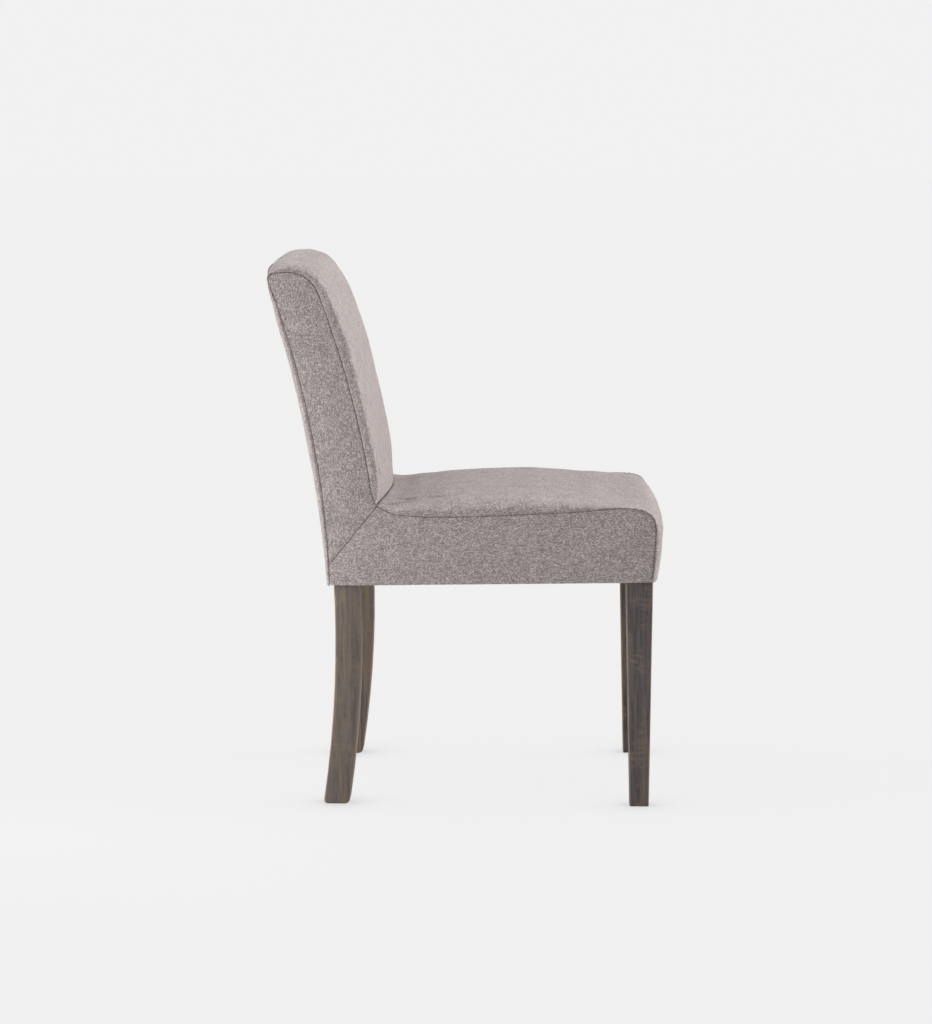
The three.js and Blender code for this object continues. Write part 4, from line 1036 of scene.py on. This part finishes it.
for kind in ("front", "rear"):
    for word in ("left", "right"):
        leg = softened_copy(f"{kind}_leg_{word}", f"{kind}_leg_board_{word}", stained_woods[kind], 0.5 * MM)
        print(leg.name, len(leg.data.polygons), "faces")

# %% [markdown]
# ## Finishes of the inner pieces
#
# Under the cover lie the rails, blocks, screws, webbing, lining, foam and wadding. Each kind gets its
# own finish, so that the chair can be shown opened up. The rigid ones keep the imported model's shapes.

# %% Plain finishes
def speckled_material(name, first, second, scale, bump_depth, roughness, **fixed):
    """A finish of two close tones in fine noise, with the same noise as relief."""
    material, tree, shader = start_material(name, Roughness=roughness, **fixed)
    place = add_node(tree, "ShaderNodeTexCoord")
    speck = noise_in(tree, place.outputs["Object"], Scale=scale, Detail=4.0, Roughness=0.65)
    tone = blended(tree, between(tree, speck.outputs["Fac"], 0.35, 0.65), first, second)
    tree.links.new(tone, shader.inputs["Base Color"])
    add_relief(tree, shader, speck.outputs["Fac"], 0.6, bump_depth)
    return material


# in each row after the two tones: specks per metre, depth of the relief in metres, roughness
finishes = {
    "foam": speckled_material("cream_foam", colour(222, 212, 184), colour(240, 233, 212), 700.0, 0.0006, 0.95),
    "wadding": speckled_material(
        "white_wadding", colour(226, 224, 218), colour(247, 246, 242), 160.0, 0.0015, 0.97),
    "webbing": speckled_material("dark_webbing", colour(40, 36, 34), colour(74, 68, 62), 900.0, 0.0004, 0.85),
    "lining_cloth": speckled_material(
        "black_lining", colour(24, 24, 26), colour(46, 46, 48), 1200.0, 0.0003, 0.9),
    "glide_nylon": speckled_material("dark_nylon", colour(34, 30, 28), colour(46, 42, 38), 500.0, 0.0001, 0.45),
    "screw_steel": speckled_material(
        "zinc_steel", colour(168, 170, 172), colour(196, 198, 200), 600.0, 0.00005, 0.35, Metallic=1.0),
    "frame_wood": pale_wood,
}


def finish_for(node_name):
    """The finish of a rigid inner piece, by a word in its name."""
    if "screw" in node_name:
        return "screw_steel"
    return "glide_nylon" if "glide" in node_name else "frame_wood"


# %% [markdown]
# ## Padding under the cover
#
# The two foam blocks are copied, remeshed evenly, drawn in a little and then inflated by a cloth
# simulation, so that they take the pillowed form of foam under tension. How far a point may move is
# capped. The flat pads are cut finely instead, because a remesh would eat through them. All of it is
# then held just under the inner face of the cover, whatever shape the cover has taken there.

# %% Copies that can be shaped
def fine_copy(node_name, cell):
    """A node's shape as a bmesh, its large faces cut into cells."""
    shape = merged_copy(node_name)
    corners = np.array([vert.co for vert in shape.verts])
    for axis in range(3):
        for cut in np.arange(corners[:, axis].min() + cell, corners[:, axis].max() - cell / 4, cell):
            cut_by_plane(shape, [*shape.verts, *shape.edges, *shape.faces], axis, cut, 1e-6)
    return shape


def inner_piece(shape, node_name, name, finish):
    """Makes a piece of a bmesh that stands for a soft node inside the chair."""
    for edge in shape.edges:
        edge.smooth = len(edge.link_faces) != 2 or edge.calc_face_angle(0) < math.radians(50)
    piece = mesh_piece(name, shape, finishes[finish])
    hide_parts(node_name)
    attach(piece, "root")
    return piece


def points_of(piece):
    """The piece's points as an array."""
    return np.array([vert.co for vert in piece.data.vertices])


def set_points(piece, points):
    """Moves the piece's points to an array's places."""
    piece.data.vertices.foreach_set("co", np.asarray(points, dtype=np.float32).ravel())
    piece.data.update()


# %% Inflate by cloth simulation
def even_remesh(piece, voxel):
    """Replaces the piece's mesh by an even one."""
    modifier = piece.modifiers.new("even", "REMESH")
    modifier.mode = "VOXEL"
    modifier.voxel_size = voxel
    made = bpy.data.meshes.new_from_object(piece.evaluated_get(bpy.context.evaluated_depsgraph_get()))
    piece.modifiers.remove(modifier)
    made.name = piece.name
    piece.data = made
    for polygon in made.polygons:
        polygon.use_smooth = True


held_way = {"seat_cushion_foam": (0, 0, -1), "back_cushion_foam": (0, 1, 0)}


def inflate(piece, drawn_in, cap, pressure=4.0, steps=20):
    """Swells a closed piece by cloth simulation; the face that lies on the platform cloth stays."""
    normals = np.array([vert.normal for vert in piece.data.vertices])
    held = np.clip((normals @ np.array(held_way[piece.name]) - 0.2) / 0.5, 0, 1)[:, None]
    start = points_of(piece) - normals * drawn_in * (1 - held)
    set_points(piece, start)
    cloth = piece.modifiers.new("filling", "CLOTH")
    cloth.settings.quality = 5
    cloth.settings.use_pressure = True
    cloth.settings.uniform_pressure_force = pressure
    cloth.settings.effector_weights.gravity = 0
    cloth.collision_settings.use_collision = False
    for step in range(1, steps + 1):
        bpy.context.scene.frame_set(step)
    swollen = piece.evaluated_get(bpy.context.evaluated_depsgraph_get())
    move = np.array([vert.co for vert in swollen.data.vertices]) - start
    piece.modifiers.remove(cloth)
    bpy.context.scene.frame_set(1)
    far = np.linalg.norm(move, axis=1, keepdims=True)
    move *= np.minimum(1, cap / np.maximum(far, 1e-9)) * (1 - held)
    set_points(piece, start + move)
    return float(far.max())


# %% Hold the padding under the cover
cover_depth = 2.6 * MM  # how far below the cover's outer face the padding stays
cover_search = 12 * MM
gutter_clearances = (16 * MM, 11 * MM)  # before and after the padding is pushed under the cover
away_from_gutter = {"seat_cushion_foam": (0, -0.3, -0.95), "back_cushion_foam": (0, 0.55, -0.83)}
cover_pieces = [
    thing for thing in bpy.data.objects
    if thing.name in wrap_outward or "side_panel" in thing.name
]
cover_points, cover_faces = [], []
for piece in cover_pieces:
    first = len(cover_points)
    cover_points.extend(tuple(vert.co) for vert in piece.data.vertices)
    cover_faces.extend([first + i for i in polygon.vertices] for polygon in piece.data.polygons)
cover_tree = BVHTree.FromPolygons(cover_points, cover_faces)


def clear_of_gutter(points, reach, way):
    """Moves points that are nearer to the gutter's seam than a reach along a way, out of sight."""
    to_gutter = np.array([gutter_tree.find(Vector(place))[2] for place in points])
    return points + np.array(way) * np.clip(reach - to_gutter, 0, None)[:, None]


def hold_under_cover(piece, passes=3):
    """Pushes points that come too near the cover's outer face down to the padding's depth below it.

    The foams are kept clear of the gutter as well, before and after.
    """
    points = points_of(piece)
    moved = 0
    if piece.name in away_from_gutter:
        points = clear_of_gutter(points, gutter_clearances[0], away_from_gutter[piece.name])
    for _ in range(passes):
        for i, place in enumerate(points):
            nearest, normal, _, _ = cover_tree.find_nearest(Vector(place), cover_search)
            if nearest is None:
                continue
            above = (Vector(place) - nearest).dot(normal)
            if above > -cover_depth:
                points[i] = nearest - normal * cover_depth
                moved += 1
    if piece.name in away_from_gutter:
        points = clear_of_gutter(points, gutter_clearances[1], away_from_gutter[piece.name])
    set_points(piece, points)
    return moved


gutter_tree = KDTree(len(gutter_path))
for i, place in enumerate(gutter_path):
    gutter_tree.insert(Vector(place), i)
gutter_tree.balance()
print("cover faces:", len(cover_faces))

# %% Foam blocks
foam_voxel, foam_drawn_in, foam_cap = 5 * MM, 3 * MM, 6 * MM
for node_name, name in (("seat_foam", "seat_cushion_foam"), ("back_foam", "back_cushion_foam")):
    foam_block = inner_piece(fine_copy(node_name, 0.5), node_name, name, "foam")
    even_remesh(foam_block, foam_voxel)
    furthest = inflate(foam_block, foam_drawn_in, foam_cap)
    held_back = hold_under_cover(foam_block)
    print(name, len(foam_block.data.vertices), "points, swelled", round(furthest, 4), "held back", held_back)

# %% Flat pads
pad_cell = 0.012
pad_names = ["front_rail_pad", "outside_back_pad", "seat_side_pad_left", "seat_side_pad_right",
             "back_side_pad_left", "back_side_pad_right"]
for node_name in pad_names:
    wadding_name = node_name.replace("pad", "wadding")
    pad = inner_piece(fine_copy(node_name, pad_cell), node_name, wadding_name, "wadding")
    hold_under_cover(pad)
    print(pad.name, len(pad.data.polygons), "faces")

# %% [markdown]
# ## Webbing, lining and dust cover
#
# The woven webs and the thin cloths are stretched over the frame. Cut finely, the cloths get the slight
# sag and the soft ripples between their tacked edges that a stretched cloth shows from below.

# %% Webs and stretched cloths
web_cell, cloth_cell, slack_reach = 0.025, 0.012, 0.05
for node_name in [name for name in frame["nodes"] if "_web_" in name]:
    low, high = (Vector(corner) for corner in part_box(node_name))
    webbing_name = node_name.replace("web", "webbing")
    web = inner_piece(fine_copy(node_name, web_cell), node_name, webbing_name, "webbing")
    print(web.name, "box", [round(v, 4) for v in high - low], len(web.data.polygons), "faces")


def stretched_cloth(node_name, name, away, sag):
    """A thin cloth, sagging a little between its edges along a direction."""
    shape = fine_copy(node_name, cloth_cell)
    points = np.array([vert.co for vert in shape.verts])
    thin = int(np.argmax(np.abs(away)))
    wide = [axis for axis in range(3) if axis != thin]
    low, high = points.min(axis=0), points.max(axis=0)
    edge = np.min([np.minimum(points[:, k] - low[k], high[k] - points[:, k]) for k in wide], axis=0)
    slack = (1 - np.exp(-(edge / slack_reach) ** 2)) * sag * (1 + 0.4 * waves(points, 0.09, 11.0))
    area = sum(face.calc_area() for face in shape.faces) / 2
    for vert, amount in zip(shape.verts, slack):
        vert.co += Vector(away) * float(amount)
    cloth = inner_piece(shape, node_name, name, "lining_cloth")
    return cloth


stretched_cloth("dust_cover", "dust_cloth", (0, 0, -1), 1.6 * MM)
stretched_cloth("seat_platform_cloth", "seat_platform_lining", (0, 0, 1), 0.1 * MM)
stretched_cloth("back_platform_cloth", "back_platform_lining", (0, -1, 0), 0.1 * MM)

# %% Rigid inner pieces
for node_name, node_object in frame["nodes"].items():
    if node_object.hide_render:
        continue
    finish = finishes[finish_for(node_name)]
    if node_object.material_slots:
        for material_slot in node_object.material_slots:
            material_slot.material = finish
    else:
        node_object.data.materials.append(finish)
print("finished nodes:", sum(not n.hide_render for n in frame["nodes"].values()))

# %% [markdown]
# ## Floor and light
#
# The floor is a plain pale plane and the light is soft: a bright sky on all sides, a broad key from
# the front, weaker suns from the top and from behind, and two soft panels at the rear right, one of
# them low for the far legs. The camera sees floor and sky in one pale tone. Part of the floor's tone
# glows by itself, so that the shadows stay as faint as in the photograph.

# %% Floor
backdrop = colour(241, 241, 241)
floor_material, floor_tree, floor_shader = start_material(
    "pale_floor", Roughness=1.0, Specular_IOR_Level=0.0, Base_Color=(0.56, 0.56, 0.56, 1),
)
# Ambient occlusion dims the floor's glow close to the legs: a painted contact shadow at each foot.
nearby = add_node(floor_tree, "ShaderNodeAmbientOcclusion", {"Distance": 0.1}, samples=12)
painted_contact_shadow = between(floor_tree, nearby.outputs["AO"], 0.55, 1.0, 0.84, 1.007)
glow = add_node(floor_tree, "ShaderNodeEmission", {"Color": backdrop, "Strength": painted_contact_shadow})
rays = add_node(floor_tree, "ShaderNodeLightPath")
seen = calculate(floor_tree, "MULTIPLY", rays.outputs["Is Camera Ray"], 0.94)
floor_mix = add_node(floor_tree, "ShaderNodeMixShader", {
    0: seen, 1: floor_shader.outputs[0], 2: glow.outputs[0],
})
floor_tree.links.new(floor_mix.outputs[0], floor_tree.nodes["Material Output"].inputs["Surface"])
ground = bmesh.new()
bmesh.ops.create_grid(ground, x_segments=1, y_segments=1, size=30.0)
floor = mesh_piece("studio_floor", ground, floor_material, smooth=False)
floor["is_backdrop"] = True

# %% Sky and lamps
world = bpy.data.worlds.new("studio_sky")
bpy.context.scene.world = world
world.use_nodes = True
sky = world.node_tree
sky_rays = add_node(sky, "ShaderNodeLightPath")
lit = add_node(sky, "ShaderNodeBackground", {"Color": (1, 1, 1, 1), "Strength": 0.42})
shown = add_node(sky, "ShaderNodeBackground", {"Color": backdrop, "Strength": 1.0})
sky_mix = add_node(sky, "ShaderNodeMixShader", {
    0: sky_rays.outputs["Is Camera Ray"], 1: lit.outputs[0], 2: shown.outputs[0],
})
sky.links.new(sky_mix.outputs[0], sky.nodes["World Output"].inputs["Surface"])


def soft_sun(name, toward, strength, spread):
    """A broad, even light that comes from a direction."""
    data = bpy.data.lights.new(name, "SUN")
    data.energy = strength
    data.angle = math.radians(spread)
    lamp = put_in_scene(name, data)
    lamp.rotation_euler = Vector(toward).to_track_quat("Z", "Y").to_euler()


def soft_panel(name, place, toward, power, size):
    """A square lamp that stands outside the picture."""
    data = bpy.data.lights.new(name, "AREA")
    data.energy = power
    data.size = size
    lamp = put_in_scene(name, data)
    lamp.location = place
    lamp.rotation_euler = (Vector(place) - Vector(toward)).to_track_quat("Z", "Y").to_euler()
    lamp.visible_camera = False


soft_sun("key_light", (0.13, -0.92, 0.37), 3.05, 34)
soft_sun("top_light", (0.08, 0.30, 0.95), 0.85, 50)
soft_sun("back_light", (-0.05, 0.94, 0.34), 1.7, 34)
soft_panel("rear_side_light", (-0.75, 0.95, 0.6), (-0.22, 0.25, 0.65), 3.0, 0.6)
soft_panel("leg_light", (-0.5, 0.8, 0.34), (0.15, 0.25, 0.2), 1.2, 0.3)
bpy.context.scene.view_settings.view_transform = "Standard"
print("lamps set")

# %% Size before and after dressing
dressed_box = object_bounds()
for label, box in (("frame", frame_box), ("dressed", dressed_box)):
    print(label, [[round(c, 4) for c in corner] for corner in box])
